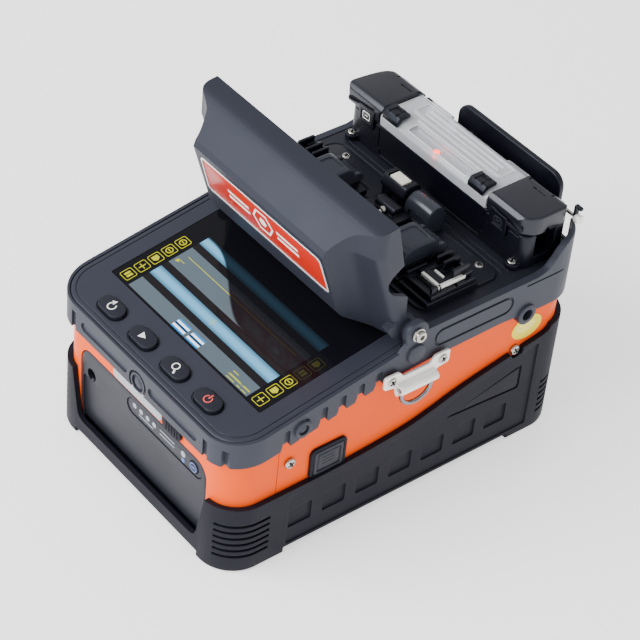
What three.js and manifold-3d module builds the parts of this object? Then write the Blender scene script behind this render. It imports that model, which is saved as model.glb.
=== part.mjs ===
// Fibre fusion splicer: rugged boot, coloured mid housing, screen panel, splicing deck,
// wind cover and tube heater. Millimetres, +Z up, -Y towards the operator (battery side).
// The origin is the centre of the footprint on the ground. The wind cover rests open.
import * as THREE from 'three';
import { mergeVertices } from 'three/addons/utils/BufferGeometryUtils.js';
import Module from 'manifold-3d';

// ---------------------------------------------------------------- driving dimensions
const GAP = 0.3;                // clearance between neighbouring pieces
const SIDES = [1, -1];          // right and left
const sideName = (side) => (side > 0 ? 'right' : 'left');

const BOOT = { halfX: 68, halfY: 100.5, corner: 18, wall: 2.6, step: 3.5, floorTop: 6, footX: 48, footY: 67 };
const HOUSING = { halfX: 65.1, halfY: 97.6, corner: 15.1, wall: 2.5, seamY: -72 };
const BUMPER = { halfX: 69, frontY: -101, backY: 99.4, corner: 19, lowDrop: 14.5, postTop: 114 };
const PANEL = { tilt: THREE.MathUtils.degToRad(10), zAtY0: 94.9, halfX: 67, front: -101.1, back: -3.3,
  corner: 17, thick: 3.2 };
const SCREEN = { halfX: 55.6, front: -78.0, back: -7.3, glass: 1.4, module: 4.2 };
const KEY = { pitch: 24.2, v: -91.1, length: 15.6, width: 8.6, proud: 1.8, depth: 3.8, play: 0.35 };
const DECK = { top: 99.7, under: 95, frontY: -2.6 };
const PLATE = { halfX: 58.5, y0: 8, y1: 55, top: 100.6 };
const STAGE = { inner: 19, outer: 59.5, y0: 10, y1: 40, base: 101, top: 104 };
const PIVOT = { y: -2.5, z: 100, lug: 5.4, ear: 6.4, bore: 1.9, pin: 1.6 };
const COVER = { halfX: 64, wall: 2.4, lugInner: 59.6, lugOuter: 65.1, creaseZ: 146.8, slope: 0.328 };
const BATTERY = { halfX: 48.2, footX: 45.6, bodyX: 45.4, low: 11, high: 52.8, faceY: -97.5, plate: 14,
  backY: -25 };
const LAMP_STRIP = { x0: -12, x1: 45, z0: 41.5, z1: 50.5, corner: 4.4, deep: 1.6 };
const CHARGE_BUTTON = { x: 38.8, z: 46, r: 3 };
const JACK = { x: -40, z: 40.2, r: 3.3, depth: 12 };
const PORT = { x: 23.4, z: 57.2, halfX: 5.4, halfZ: 2.3 };
const HEATER = { x0: -63.4, x1: 61, frontY: 64, backY: 91, low: 100, high: 117.7, lidTop: 126.8 };
const LID = { x: -3.5, half: 37.5 };
const LID_HINGE = { y: 92.6, z: 120.4, knuckle: 2.1, bore: 1.25, pin: 0.9 };
const FIBRE = { y: 27, z: 107 };
const RELEASE = { y: -44.4, z: 45.8, halfY: 8.2, halfZ: 6.8 };
const SCREWS = { front: { y: -66, z: 53.6 }, rear: { y: 64.5, z: 56.4 } };
const RING = { x: 73.1, y: -3, z: 75, halfY: 10, drop: 12.5, wire: 1.1 };

const COLOUR = { rubber: 0x23242e, orange: 0xfa8750, charcoal: 0x454753, panel: 0x4a4c57, black: 0x1e2028,
  steel: 0xd8d6d0, screen: 0x0a0b0e, red: 0xc8553f, clear: 0xc9cdd6, grey: 0x8f949d, white: 0xf2f2ee,
  key: 0x2c2e37, green: 0x2f6b3c };

// ---------------------------------------------------------------- shape tools
const wasm = await Module();
wasm.setup();

function solidOf(geometry) {
  const bare = geometry.index ? geometry.toNonIndexed() : geometry.clone();
  bare.deleteAttribute('normal');
  bare.deleteAttribute('uv');
  const merged = mergeVertices(bare, 1e-4);
  return new wasm.Manifold(new wasm.Mesh({
    numProp: 3,
    vertProperties: new Float32Array(merged.attributes.position.array),
    triVerts: new Uint32Array(merged.index.array),
  }));
}

function geometryOf(solid) {
  const mesh = solid.getMesh();
  const geometry = new THREE.BufferGeometry();
  geometry.setAttribute('position', new THREE.BufferAttribute(new Float32Array(mesh.vertProperties), 3));
  geometry.setIndex(new THREE.BufferAttribute(new Uint32Array(mesh.triVerts), 1));
  const flat = geometry.toNonIndexed();
  flat.computeVertexNormals();
  return flat;
}

const join = (first, ...rest) => rest.reduce((total, piece) => total.add(piece), first);
const cut = (first, ...rest) => rest.reduce((total, piece) => total.subtract(piece), first);

// An outline of [a, b] points.
function outline(points) {
  return new THREE.Shape(points.map(([a, b]) => new THREE.Vector2(a, b)));
}

// A rectangle from (x0, y0) to (x1, y1) whose corners are arcs of radius r.
function roundRect(x0, x1, y0, y1, r) {
  const shape = new THREE.Shape();
  shape.moveTo(x1, y0 + r);
  shape.lineTo(x1, y1 - r);
  shape.absarc(x1 - r, y1 - r, r, 0, Math.PI / 2, false);
  shape.absarc(x0 + r, y1 - r, r, Math.PI / 2, Math.PI, false);
  shape.absarc(x0 + r, y0 + r, r, Math.PI, 1.5 * Math.PI, false);
  shape.absarc(x1 - r, y0 + r, r, 1.5 * Math.PI, 2 * Math.PI, false);
  return shape;
}

function extrude(shape, depth, segments = 6) {
  return new THREE.ExtrudeGeometry(shape, { depth, bevelEnabled: false, curveSegments: segments });
}

// Prisms standing on an XY, YZ or XZ outline.
function prismZ(shape, z0, z1, segments) {
  return solidOf(extrude(shape, z1 - z0, segments).translate(0, 0, z0));
}
const TO_X = new THREE.Matrix4().makeBasis(
  new THREE.Vector3(0, 1, 0), new THREE.Vector3(0, 0, 1), new THREE.Vector3(1, 0, 0));
function prismX(shape, x0, x1, segments) {
  const length = Math.abs(x1 - x0);
  return solidOf(extrude(shape, length, segments).applyMatrix4(TO_X).translate(Math.min(x0, x1), 0, 0));
}
const TO_Y = new THREE.Matrix4().makeBasis(
  new THREE.Vector3(1, 0, 0), new THREE.Vector3(0, 0, 1), new THREE.Vector3(0, -1, 0));
function prismY(shape, y0, y1, segments) {
  return solidOf(extrude(shape, y1 - y0, segments).applyMatrix4(TO_Y).translate(0, y1, 0));
}

function box(x0, x1, y0, y1, z0, z1) {
  const [a, b] = [Math.min(x0, x1), Math.max(x0, x1)];
  const geometry = new THREE.BoxGeometry(b - a, y1 - y0, z1 - z0);
  return solidOf(geometry.translate((a + b) / 2, (y0 + y1) / 2, (z0 + z1) / 2));
}

// Round bars along each axis, centred on the other two coordinates.
function barX(r, x0, x1, y, z, segments = 20) {
  const geometry = new THREE.CylinderGeometry(r, r, Math.abs(x1 - x0), segments).rotateZ(-Math.PI / 2);
  return solidOf(geometry.translate((x0 + x1) / 2, y, z));
}
function barY(r, y0, y1, x, z, segments = 20) {
  const geometry = new THREE.CylinderGeometry(r, r, y1 - y0, segments);
  return solidOf(geometry.translate(x, (y0 + y1) / 2, z));
}
function barZ(r, z0, z1, x, y, segments = 20) {
  const geometry = new THREE.CylinderGeometry(r, r, z1 - z0, segments).rotateX(Math.PI / 2);
  return solidOf(geometry.translate(x, y, (z0 + z1) / 2));
}

const splicer = new THREE.Group();
function place(name, solid, color, roughness, metalness = 0, parent = splicer) {
  const material = new THREE.MeshStandardMaterial({ color, roughness, metalness });
  const mesh = new THREE.Mesh(geometryOf(solid), material);
  mesh.name = name;
  parent.add(mesh);
  return mesh;
}

// ---------------------------------------------------------------- shared surfaces
const panelZ = (y) => PANEL.zAtY0 + Math.tan(PANEL.tilt) * y;

// The tilted panel's own frame: x across, y up the slope, z out of the panel.
const panel = new THREE.Group();
panel.position.z = PANEL.zAtY0;
panel.rotation.x = PANEL.tilt;
splicer.add(panel);
const PANEL_MATRIX = new THREE.Matrix4().makeRotationX(PANEL.tilt).setPosition(0, 0, PANEL.zAtY0);
function inPanel(shape, n0, n1, segments) {
  return solidOf(extrude(shape, n1 - n0, segments).translate(0, 0, n0).applyMatrix4(PANEL_MATRIX));
}

// ---------------------------------------------------------------- boot
function makeBoot() {
  const inset = BOOT.wall;
  const outer = roundRect(-BOOT.halfX, BOOT.halfX, -BOOT.halfY, BOOT.halfY, BOOT.corner);
  const inner = roundRect(-BOOT.halfX + inset, BOOT.halfX - inset, -BOOT.halfY + inset, BOOT.halfY - inset,
    BOOT.corner - inset);
  const above = outline([[-110, 38], [-8, 38.5], [6, 42.5], [44, 53], [84, 61], [110, 63], [110, 90],
    [-110, 90]]);
  const window = outline([[-46, 10.5], [46, 10.5], [52, 40], [52, 90], [-52, 90], [-52, 40]]);
  let boot = cut(prismZ(outer, BOOT.step, 66), prismZ(inner, BOOT.floorTop, 70), prismX(above, -80, 80),
    prismY(window, -110, -90));
  const feet = prismZ(outer, 0, BOOT.step + 0.5);
  const cross = join(box(-BOOT.footX, BOOT.footX, -110, 110, -1, BOOT.step),
    box(-80, 80, -BOOT.footY, BOOT.footY, -1, BOOT.step));
  boot = join(boot, cut(feet, cross));
  const pitch = 19.3;
  const recesses = [-1, 0, 1, 2, 3].flatMap((step) => SIDES.map((side) => {
    const y = 6.5 + (step - 1) * pitch;
    return box(side * (BOOT.halfX - 1.2), side * (BOOT.halfX + 2), y - 6.5, y + 6.5, 14.5, 25);
  }));
  const screwNotches = SIDES.map((side) => barX(3.8, side * 60, side * 75, SCREWS.rear.y, SCREWS.rear.z));
  return cut(boot, ...recesses, ...screwNotches);
}
place('boot', makeBoot(), COLOUR.rubber, 0.72);

// ---------------------------------------------------------------- housing
function housingOutline(inset) {
  return roundRect(-HOUSING.halfX + inset, HOUSING.halfX - inset, -HOUSING.halfY + inset,
    HOUSING.halfY - inset, HOUSING.corner - inset);
}
function makeHousing() {
  const low = BOOT.floorTop + GAP;
  const shell = cut(prismZ(housingOutline(0), low, 94.4), prismZ(housingOutline(HOUSING.wall), low - 1, 100));
  const underPanel = outline([[-110, panelZ(-110) - 5.4], [-2.2, panelZ(-2.2) - 5.4], [-2.2, 94.4],
    [110, 94.4], [110, 120], [-110, 120]]);
  const bay = roundRect(-BATTERY.halfX - GAP, BATTERY.halfX + GAP, 0, BATTERY.high + GAP, 8);
  const port = roundRect(PORT.x - PORT.halfX, PORT.x + PORT.halfX, PORT.z - PORT.halfZ,
    PORT.z + PORT.halfZ, 1);
  const release = roundRect(RELEASE.y - RELEASE.halfY - GAP, RELEASE.y + RELEASE.halfY + GAP,
    RELEASE.z - RELEASE.halfZ - GAP, RELEASE.z + RELEASE.halfZ + GAP, 1.5);
  return cut(shell, prismX(underPanel, -80, 80), prismY(bay, -110, -90), prismY(port, -110, -90),
    prismX(release, 55, 80));
}
const housing = makeHousing();
const frontHalf = box(-90, 90, -120, HOUSING.seamY - GAP / 2, -10, 130);
const rearHalf = box(-90, 90, HOUSING.seamY + GAP / 2, 120, -10, 130);
place('housing_front', housing.intersect(frontHalf), COLOUR.orange, 0.42);
place('housing_rear', housing.intersect(rearHalf), COLOUR.orange, 0.42);
place('base_plate', prismZ(housingOutline(HOUSING.wall + GAP), 6.3, 9), COLOUR.black, 0.6);
place('mainboard', box(-58, 58, -16, 90, 58, 59.6), COLOUR.green, 0.5);
place('status_strip', prismY(roundRect(-22, 15.6, 54.8, 60.4, 2.7), -HOUSING.halfY - 1.1,
  -HOUSING.halfY - GAP), COLOUR.grey, 0.5);
place('port_cover', prismY(roundRect(PORT.x - 7, PORT.x + 6.8, PORT.z - 3.5, PORT.z + 3.5, 3.4),
  -HOUSING.halfY - 1.9, -HOUSING.halfY - GAP), COLOUR.rubber, 0.8);

// ---------------------------------------------------------------- battery pack
const faceY = BATTERY.faceY;
function lampStripOutline(inset) {
  return roundRect(LAMP_STRIP.x0 + inset, LAMP_STRIP.x1 - inset, LAMP_STRIP.z0 + inset, LAMP_STRIP.z1 - inset,
    LAMP_STRIP.corner - inset);
}
function buttonBar(grow, y0, y1) {
  return barY(CHARGE_BUTTON.r + grow, y0, y1, CHARGE_BUTTON.x, CHARGE_BUTTON.z);
}
function makeBattery() {
  const taper = outline([[-BATTERY.footX, BATTERY.low], [BATTERY.footX, BATTERY.low], [BATTERY.halfX, 24.5],
    [BATTERY.halfX, 60], [-BATTERY.halfX, 60], [-BATTERY.halfX, 24.5]]);
  const face = prismY(roundRect(-BATTERY.halfX, BATTERY.halfX, BATTERY.low - 9, BATTERY.high, 7.5), faceY,
    faceY + BATTERY.plate).intersect(prismY(taper, -110, -50));
  const block = box(-BATTERY.bodyX, BATTERY.bodyX, faceY + BATTERY.plate - 1, BATTERY.backY, BATTERY.low,
    BATTERY.high - 2);
  return cut(join(face, block), prismY(lampStripOutline(0), faceY - 2, faceY + LAMP_STRIP.deep),
    barY(JACK.r, faceY - 2, faceY + JACK.depth, JACK.x, JACK.z), buttonBar(GAP, faceY - 2, faceY + 5.5));
}
place('battery_pack', makeBattery(), COLOUR.charcoal, 0.5);
const strip = prismY(lampStripOutline(GAP), faceY + GAP, faceY + LAMP_STRIP.deep - GAP);
place('lamp_strip', cut(strip, buttonBar(GAP, faceY - 2, faceY + 3)), COLOUR.key, 0.35);
place('charge_button', buttonBar(0, faceY - 0.2, faceY + 3.6), COLOUR.key, 0.4);

// ---------------------------------------------------------------- bumper
function makeBumper() {
  const outer = roundRect(-BUMPER.halfX, BUMPER.halfX, BUMPER.frontY, BUMPER.backY, BUMPER.corner);
  const ring = cut(prismZ(outer, 55, BUMPER.postTop), prismZ(housingOutline(-GAP), 50, 130));
  const side = outline([[-110, panelZ(-110) - BUMPER.lowDrop], [-24, panelZ(-24) - BUMPER.lowDrop + 1],
    [2, 81], [110, 81], [110, BUMPER.postTop], [85, BUMPER.postTop], [79, 109.5], [74, 103], [69, 100],
    [-4, 100], [-12, panelZ(-12)], [-110, panelZ(-110)]]);
  const rearGap = box(-57, 57, 78, 110, 100, 130);
  const rebate = inPanel(roundRect(-PANEL.halfX - GAP, PANEL.halfX + GAP, PANEL.front - GAP, PANEL.back + 60,
    PANEL.corner + GAP), -PANEL.thick - GAP, 30);
  const rebateSide = box(-90, 90, -120, -7.4, 0, 130);
  let bumper = cut(ring.intersect(prismX(side, -80, 80)), rearGap, rebate.intersect(rebateSide));
  for (const side of SIDES) {
    const x0 = side * (HOUSING.halfX + GAP);
    const x1 = side * (BUMPER.halfX + 1.2);
    bumper = join(bumper, barX(4.6, x0, x1, -63.5, 75.4), barX(5, x0, x1, -2.2, 88.9),
      barX(5.4, x0, x1, 64.2, 80.6), barX(PIVOT.ear, x0, side * BUMPER.halfX, PIVOT.y, PIVOT.z));
    bumper = cut(bumper, barX(PIVOT.bore, side * 60, side * 75, PIVOT.y, PIVOT.z),
      barX(2.6, side * (BUMPER.halfX - 2), side * 75, 64.2, 80.6));
    const channel = roundRect(8, 55, 86.5, 96.5, 4.9);
    bumper = cut(bumper, prismX(channel, side * (BUMPER.halfX - 0.8), side * 80));
  }
  return join(bumper, barY(5.4, BUMPER.frontY, -HOUSING.halfY - GAP, 0, 67.5));
}
place('bumper', makeBumper(), COLOUR.charcoal, 0.62);

// ---------------------------------------------------------------- screen panel
const keyOutline = (x, grow) => roundRect(x - KEY.length / 2 - grow, x + KEY.length / 2 + grow,
  KEY.v - KEY.width / 2 - grow, KEY.v + KEY.width / 2 + grow, KEY.width / 2 + grow - 0.01);
const KEYS = ['key_reset', 'key_play', 'key_zoom', 'key_power'];
const keyX = (index) => (index - 1.5) * KEY.pitch;
function makeBezel() {
  const plate = prismZ(roundRect(-PANEL.halfX, PANEL.halfX, PANEL.front, PANEL.back, PANEL.corner),
    -PANEL.thick, 0);
  const squareBack = box(-PANEL.halfX, PANEL.halfX, -30, PANEL.back, -PANEL.thick, 0);
  const trimSide = join(box(-90, -HOUSING.halfX, -8.5, 0, -9, 9), box(HOUSING.halfX, 90, -8.5, 0, -9, 9));
  const window = box(-SCREEN.halfX - GAP, SCREEN.halfX + GAP, SCREEN.front - GAP, SCREEN.back + GAP, -9, 9);
  const holes = KEYS.map((_, index) => prismZ(keyOutline(keyX(index), KEY.play), -9, 9));
  return cut(join(plate, squareBack), trimSide, window, ...holes);
}
place('bezel', makeBezel(), COLOUR.panel, 0.3, 0, panel);
place('screen_glass', box(-SCREEN.halfX, SCREEN.halfX, SCREEN.front, SCREEN.back, -SCREEN.glass, 0),
  COLOUR.screen, 0.08, 0, panel);
const moduleTop = -SCREEN.glass - GAP;
place('lcd_module', box(-SCREEN.halfX, SCREEN.halfX, SCREEN.front, SCREEN.back, moduleTop - SCREEN.module,
  moduleTop), COLOUR.steel, 0.4, 0.8, panel);
KEYS.forEach((name, index) => {
  place(name, prismZ(keyOutline(keyX(index), 0), -KEY.depth, KEY.proud), COLOUR.key, 0.55, 0, panel);
});
place('key_board', box(-50, 50, KEY.v - 5.5, KEY.v + 6, -8, -6.4), COLOUR.green, 0.5, 0, panel);

// ---------------------------------------------------------------- deck
function makeDeck() {
  const top = prismZ(housingOutline(0), DECK.under, DECK.top);
  const front = box(-90, 90, -120, DECK.frontY, 80, 130);
  const pocket = prismZ(roundRect(-PLATE.halfX - GAP, PLATE.halfX + GAP, PLATE.y0 - GAP, PLATE.y1 + GAP, 6),
    97, 130);
  const notches = SIDES.map((side) => box(side * (COVER.lugInner - 0.6), side * 70, -5, 4, 90, 130));
  return cut(top, front, pocket, ...notches);
}
place('deck', makeDeck(), COLOUR.panel, 0.55);
place('splice_plate', prismZ(roundRect(-PLATE.halfX, PLATE.halfX, PLATE.y0, PLATE.y1, 5.7), 97.3, PLATE.top),
  COLOUR.panel, 0.5);

const groove = (z, depth) => prismX(outline([[FIBRE.y, z - depth], [FIBRE.y + depth, z + 1],
  [FIBRE.y - depth, z + 1]]), -80, 80);
const hingeRib = outline([[35.2, 103], [39.8, 103], [39.8, 110.4], [38.4, 111.6], [36.6, 111.6],
  [35.2, 110.4]]);
const holderRib = outline([[34.6, 107], [38, 107], [38, 110.2], [36.8, 111.3], [35.6, 111.3],
  [34.6, 110.2]]);
for (const side of SIDES) {
  const name = sideName(side);
  const carriage = join(
    box(side * STAGE.inner, side * STAGE.outer, STAGE.y0, STAGE.y1, STAGE.base, STAGE.top),
    box(side * 22, side * 38, 15, 34, STAGE.top - 1, FIBRE.z + 0.6),
    prismX(hingeRib, side * 24.3, side * 35.7));
  place(`stage_${name}`, cut(carriage, groove(FIBRE.z + 0.6, 1.6),
    barX(1.25, side * 10, side * 60, 37.5, 109.6, 14)), COLOUR.black, 0.5);
  const lid = outline([[13.5, FIBRE.z + 1], [13.5, 114.5], [16.5, 117], [31, 117], [34.3, 114.5],
    [34.3, FIBRE.z + 1]]);
  const cheek = outline([[30, 108], [30, 113], [38, 112.4], [40, 109.6], [38.6, 107.6]]);
  place(`clamp_lid_${name}`, join(prismX(lid, side * 22, side * 38),
    prismX(cheek, side * 22, side * 24),
    prismX(cheek, side * 36, side * 38),
    barX(1.1, side * 22.5, side * 37.5, 37.5, 109.6, 14)), COLOUR.panel, 0.5);
  const holder = join(box(side * 41, side * STAGE.outer, 12, 38, STAGE.top + GAP, FIBRE.z + 0.4),
    prismX(holderRib, side * 47.2, side * 53.8));
  place(`holder_${name}`, cut(holder, groove(FIBRE.z + 0.4, 1.4),
    barX(1.05, side * 40, side * 60, 36.2, 109.4, 12)), COLOUR.black, 0.45);
  const plate = join(box(side * 43, side * 58, 18, 33, 107.8, 109.2),
    box(side * 43, side * 46.9, 32, 37.4, 107.8, 110.4), box(side * 54.1, side * 58, 32, 37.4, 107.8, 110.4),
    barX(0.9, side * 43.5, side * 57.5, 36.2, 109.4, 12));
  place(`holder_lid_${name}`, plate, COLOUR.steel, 0.3, 0.9);
}
place('vgroove_block', cut(box(-11, 11, 13, 41, 101, FIBRE.z + 0.4), groove(FIBRE.z + 0.4, 1.5),
  box(-3.2, 3.2, 12, 42, 103, 120)), COLOUR.white, 0.5);
function electrode(direction) {
  const profile = [[0, 0], [0.15, 0], [1.4, 3.4], [2.4, 3.8], [2.4, 11.5], [0, 11.5]];
  const lathe = new THREE.LatheGeometry(profile.map(([r, h]) => new THREE.Vector2(r, h)), 16);
  if (direction < 0) lathe.rotateX(Math.PI);
  return solidOf(lathe.translate(0, FIBRE.y + direction * 1.2, FIBRE.z));
}
place('electrode_rear', electrode(1), COLOUR.steel, 0.25, 1);
place('electrode_front', electrode(-1), COLOUR.steel, 0.25, 1);
const lampSide = outline([[43, 101], [43, 110], [41, 112], [44, 117], [51, 117], [54, 112], [54, 101]]);
place('lamp_arm', cut(prismX(lampSide, -13, 3), box(-10.5, 0.5, 43.8, 50, 115.5, 120)), COLOUR.black, 0.5);
place('lamp_window', box(-10.2, 0.2, 44.1, 49.7, 115.8, 117), COLOUR.white, 0.3);
const lensSide = outline([[42.4, 101], [42.4, 110], [44, 113.4], [47, 115.2], [50.5, 115], [53.5, 113],
  [54.2, 110], [54.2, 101]]);
place('lens_block', prismX(lensSide, 4, 20), COLOUR.panel, 0.4);

// ---------------------------------------------------------------- wind cover
function coverPlan(inset) {
  const right = [[COVER.halfX, 20], [COVER.halfX, -21], [62.4, -25.6], [57.5, -28.4], [52.6, -31.2],
    [49.6, -35.4], [46.4, -39.6], [45, -46]].map(([x, y]) => [x - inset, y]);
  return outline([...right, ...right.map(([x, y]) => [-x, y]).reverse()]);
}
// The plan stands upright above the crease; below it the plan leans with the badge's face.
function coverFlanks(inset) {
  const lean = [1, 0, 0, 0, 0, 1, 0, 0, 0, -COVER.slope, 1, 0, 0, COVER.slope * COVER.creaseZ, 0, 1];
  return join(prismZ(coverPlan(inset), COVER.creaseZ, 170),
    prismZ(coverPlan(inset), 80, COVER.creaseZ).transform(lean));
}
const coverOuter = outline([[-16.7, 161.7], [-26.8, 159.2], [-33.8, 153.4], [-40.8, 146.8], [-41.8, 144],
  [-33.6, 118.9], [-30.5, 109.5], [-27, 105.2], [-14, 98.2], [-8.6, 96.3], [-6.6, 96.5], [-6.3, 108],
  [-6.8, 119.6], [-16, 124.6], [-18.6, 130], [-17.2, 134.2], [-10.8, 138.8]]);
const coverInner = outline([[10, 159.1], [-17.1, 159.1], [-26, 156.8], [-32.2, 151.6], [-38.6, 145.6],
  [-39.2, 143.7], [-31.2, 119.6], [-28.2, 110.7], [-25.4, 107.3], [-13.2, 100.8], [-5, 98.2], [10, 98.2]]);
// The badge sits in a shallow pocket on the sloping front face.
const FACE = { y: -37.05, z: 129.45, tilt: Math.atan2(22.6, -7.4), halfU: 44.2, halfV: 11.7, deep: 1.4 };
const BADGE_MATRIX = new THREE.Matrix4().makeRotationX(FACE.tilt).setPosition(0, FACE.y, FACE.z);
function badgeShape(inset) {
  const top = FACE.halfU - 0.8 - inset;
  const low = FACE.halfU - inset;
  const high = FACE.halfV - inset;
  return outline([[-low, -high], [low, -high], [top, high], [-top, high]]);
}
function makeCover() {
  const body = prismX(coverOuter, -COVER.halfX, COVER.halfX).intersect(coverFlanks(0));
  const hollow = prismX(coverInner, -COVER.halfX, COVER.halfX).intersect(coverFlanks(COVER.wall));
  const pocket = solidOf(extrude(badgeShape(0), 5).translate(0, 0, -FACE.deep).applyMatrix4(BADGE_MATRIX));
  let cover = cut(body, hollow, pocket);
  for (const side of SIDES) {
    const arm = outline([[-13, 99.2], [-6.2, 96.2], [-2.5, 97], [-2.5, 104.6], [-6.4, 109], [-16, 104]]);
    cover = join(cover, prismX(arm, side * COVER.lugInner, side * COVER.halfX),
      barX(PIVOT.lug, side * COVER.lugInner, side * COVER.lugOuter, PIVOT.y, PIVOT.z, 24));
    cover = cut(cover, barX(PIVOT.bore, side * 50, side * 70, PIVOT.y, PIVOT.z));
  }
  return cover;
}
place('wind_cover', makeCover(), COLOUR.panel, 0.5);
const badge = new THREE.Group();
badge.position.set(0, FACE.y, FACE.z);
badge.rotation.x = FACE.tilt;
splicer.add(badge);
const trimWidth = 1.3;
place('badge_plate', prismZ(badgeShape(GAP + trimWidth + GAP), -FACE.deep + GAP, -0.2), COLOUR.red, 0.35, 0,
  badge);
place('badge_trim', cut(prismZ(badgeShape(GAP), -FACE.deep + GAP, 0), prismZ(badgeShape(GAP + trimWidth),
  -5, 5)), COLOUR.steel, 0.15, 1, badge);

for (const side of SIDES) {
  const head = barX(2.8, side * (BUMPER.halfX + GAP), side * (BUMPER.halfX + 3.1), PIVOT.y, PIVOT.z);
  const shank = barX(PIVOT.pin, side * 59.8, side * (BUMPER.halfX + 1), PIVOT.y, PIVOT.z);
  const socket = barX(1.45, side * (BUMPER.halfX + 1.4), side * 75, PIVOT.y, PIVOT.z, 6);
  place(`hinge_screw_${sideName(side)}`, cut(join(head, shank), socket), COLOUR.steel, 0.25, 1);
}

// ---------------------------------------------------------------- tube heater
const trough = { y0: 71, y1: 83 };
const pinBore = () => barX(LID_HINGE.bore, -70, 70, LID_HINGE.y, LID_HINGE.z, 12);
const lidLow = HEATER.high + GAP;
const backCut = LID_HINGE.y - LID_HINGE.knuckle - GAP;
function makeHeaterBody() {
  const block = prismZ(roundRect(HEATER.x0, HEATER.x1, HEATER.frontY, HEATER.backY, 5), HEATER.low,
    HEATER.high);
  const channel = box(-80, 80, trough.y0, trough.y1, 105, 130);
  const ends = [-59, 56].map((x) => barZ(3.6, HEATER.low, 102.6, x, 63.6));
  const ears = [-59, -40.1, -9.5, 33.1, 52].map((x) => join(
    box(x - 1.4, x + 1.4, backCut + GAP, LID_HINGE.y, 110, LID_HINGE.z),
    barX(LID_HINGE.knuckle, x - 1.4, x + 1.4, LID_HINGE.y, LID_HINGE.z, 14)));
  return cut(join(block, ...ends, ...ears), channel, pinBore());
}
place('heater_body', makeHeaterBody(), COLOUR.black, 0.5);
place('heater_plate', cut(box(LID.x - 35, LID.x + 35, trough.y0 + GAP, trough.y1 - GAP, 105.3, 112),
  prismX(outline([[74, 113], [76, 108], [78, 108], [80, 113]]), -50, 50)), COLOUR.steel, 0.35, 0.9);
place('heater_pin', barX(LID_HINGE.pin, -60.5, 61.3, LID_HINGE.y, LID_HINGE.z, 12), COLOUR.steel, 0.3, 1);

function knuckles(spans) {
  return spans.map(([x0, x1]) => join(
    barX(LID_HINGE.knuckle, x0, x1, LID_HINGE.y, LID_HINGE.z, 14),
    box(x0, x1, 88.6, LID_HINGE.y, LID_HINGE.z - 0.6, LID_HINGE.z + LID_HINGE.knuckle)));
}
function makeHeaterLid() {
  const front = HEATER.frontY - 0.6;
  const outer = outline([[front, lidLow], [front, 123.6], [66.6, HEATER.lidTop], [88, HEATER.lidTop],
    [backCut, 125], [backCut, lidLow]]);
  const inner = outline([[front + 1.6, lidLow - 1], [front + 1.6, 123], [67.2, HEATER.lidTop - 1.6],
    [87.4, HEATER.lidTop - 1.6], [backCut - 1.6, 124], [backCut - 1.6, lidLow - 1]]);
  const [x0, x1] = [LID.x - LID.half, LID.x + LID.half];
  return cut(join(cut(prismX(outer, x0, x1), prismX(inner, x0 + 1.6, x1 - 1.6)),
    ...knuckles([[-37.5, -23.5], [16.5, 30.5]])), pinBore());
}
place('heater_lid', makeHeaterLid(), COLOUR.clear, 0.1);
const CAPS = {
  right: { x0: 34.3, x1: 61.5, hub: [37.5, 50], plan: [[34.3, 63.4], [52, 63.4], [56.8, 64.9], [60.2, 68.4],
    [61.5, 73], [61.5, 86], [60.2, 88.9], [57, 90.2], [34.3, 90.2]] },
  left: { x0: -68.5, x1: -41.3, hub: [-57, -44.5], plan: [[-41.3, 63.4], [-66.6, 63.4], [-68.1, 64.2],
    [-68.5, 66], [-66.4, 83], [-64.4, 87.6], [-60.4, 90.2], [-41.3, 90.2]] },
};
for (const side of SIDES) {
  const front = HEATER.frontY - 0.6;
  const profile = outline([[front, lidLow], [front, 124.4], [66, 127.4], [88, 127.4], [backCut, 125.6],
    [backCut, lidLow]]);
  const slot = outline([[74.5, lidLow - 1], [77, lidLow + 2.6], [79.5, lidLow - 1]]);
  const { x0, x1, hub, plan } = CAPS[sideName(side)];
  const shell = prismX(profile, x0, x1).intersect(prismZ(outline(plan), 110, 130));
  const cap = cut(join(shell, ...knuckles([hub])), prismX(slot, -80, 80), pinBore());
  place(`heater_cap_${sideName(side)}`, cap, COLOUR.black, 0.4);
  const latch = outline([[62.6, 124.2], [62.6, 126.6], [64.2, 129.2], [71, 129.2], [71, 127.1], [66.4, 127.1],
    [62.9, 124.3]]);
  place(`lid_latch_${sideName(side)}`, prismX(latch, LID.x + side * 25.2, LID.x + side * 35.6),
    COLOUR.black, 0.5);
}
place('rear_tray', prismY(roundRect(-25, 46, 100.4, 128.8, 7), 97.8, 101), COLOUR.black, 0.6);
const knob = new THREE.SphereGeometry(2.2, 16, 10).translate(64.1, LID_HINGE.y, LID_HINGE.z);
place('pin_knob', join(box(61.9, 63.5, 91.4, 93.8, 119, 127), solidOf(knob)), COLOUR.grey, 0.4);

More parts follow.
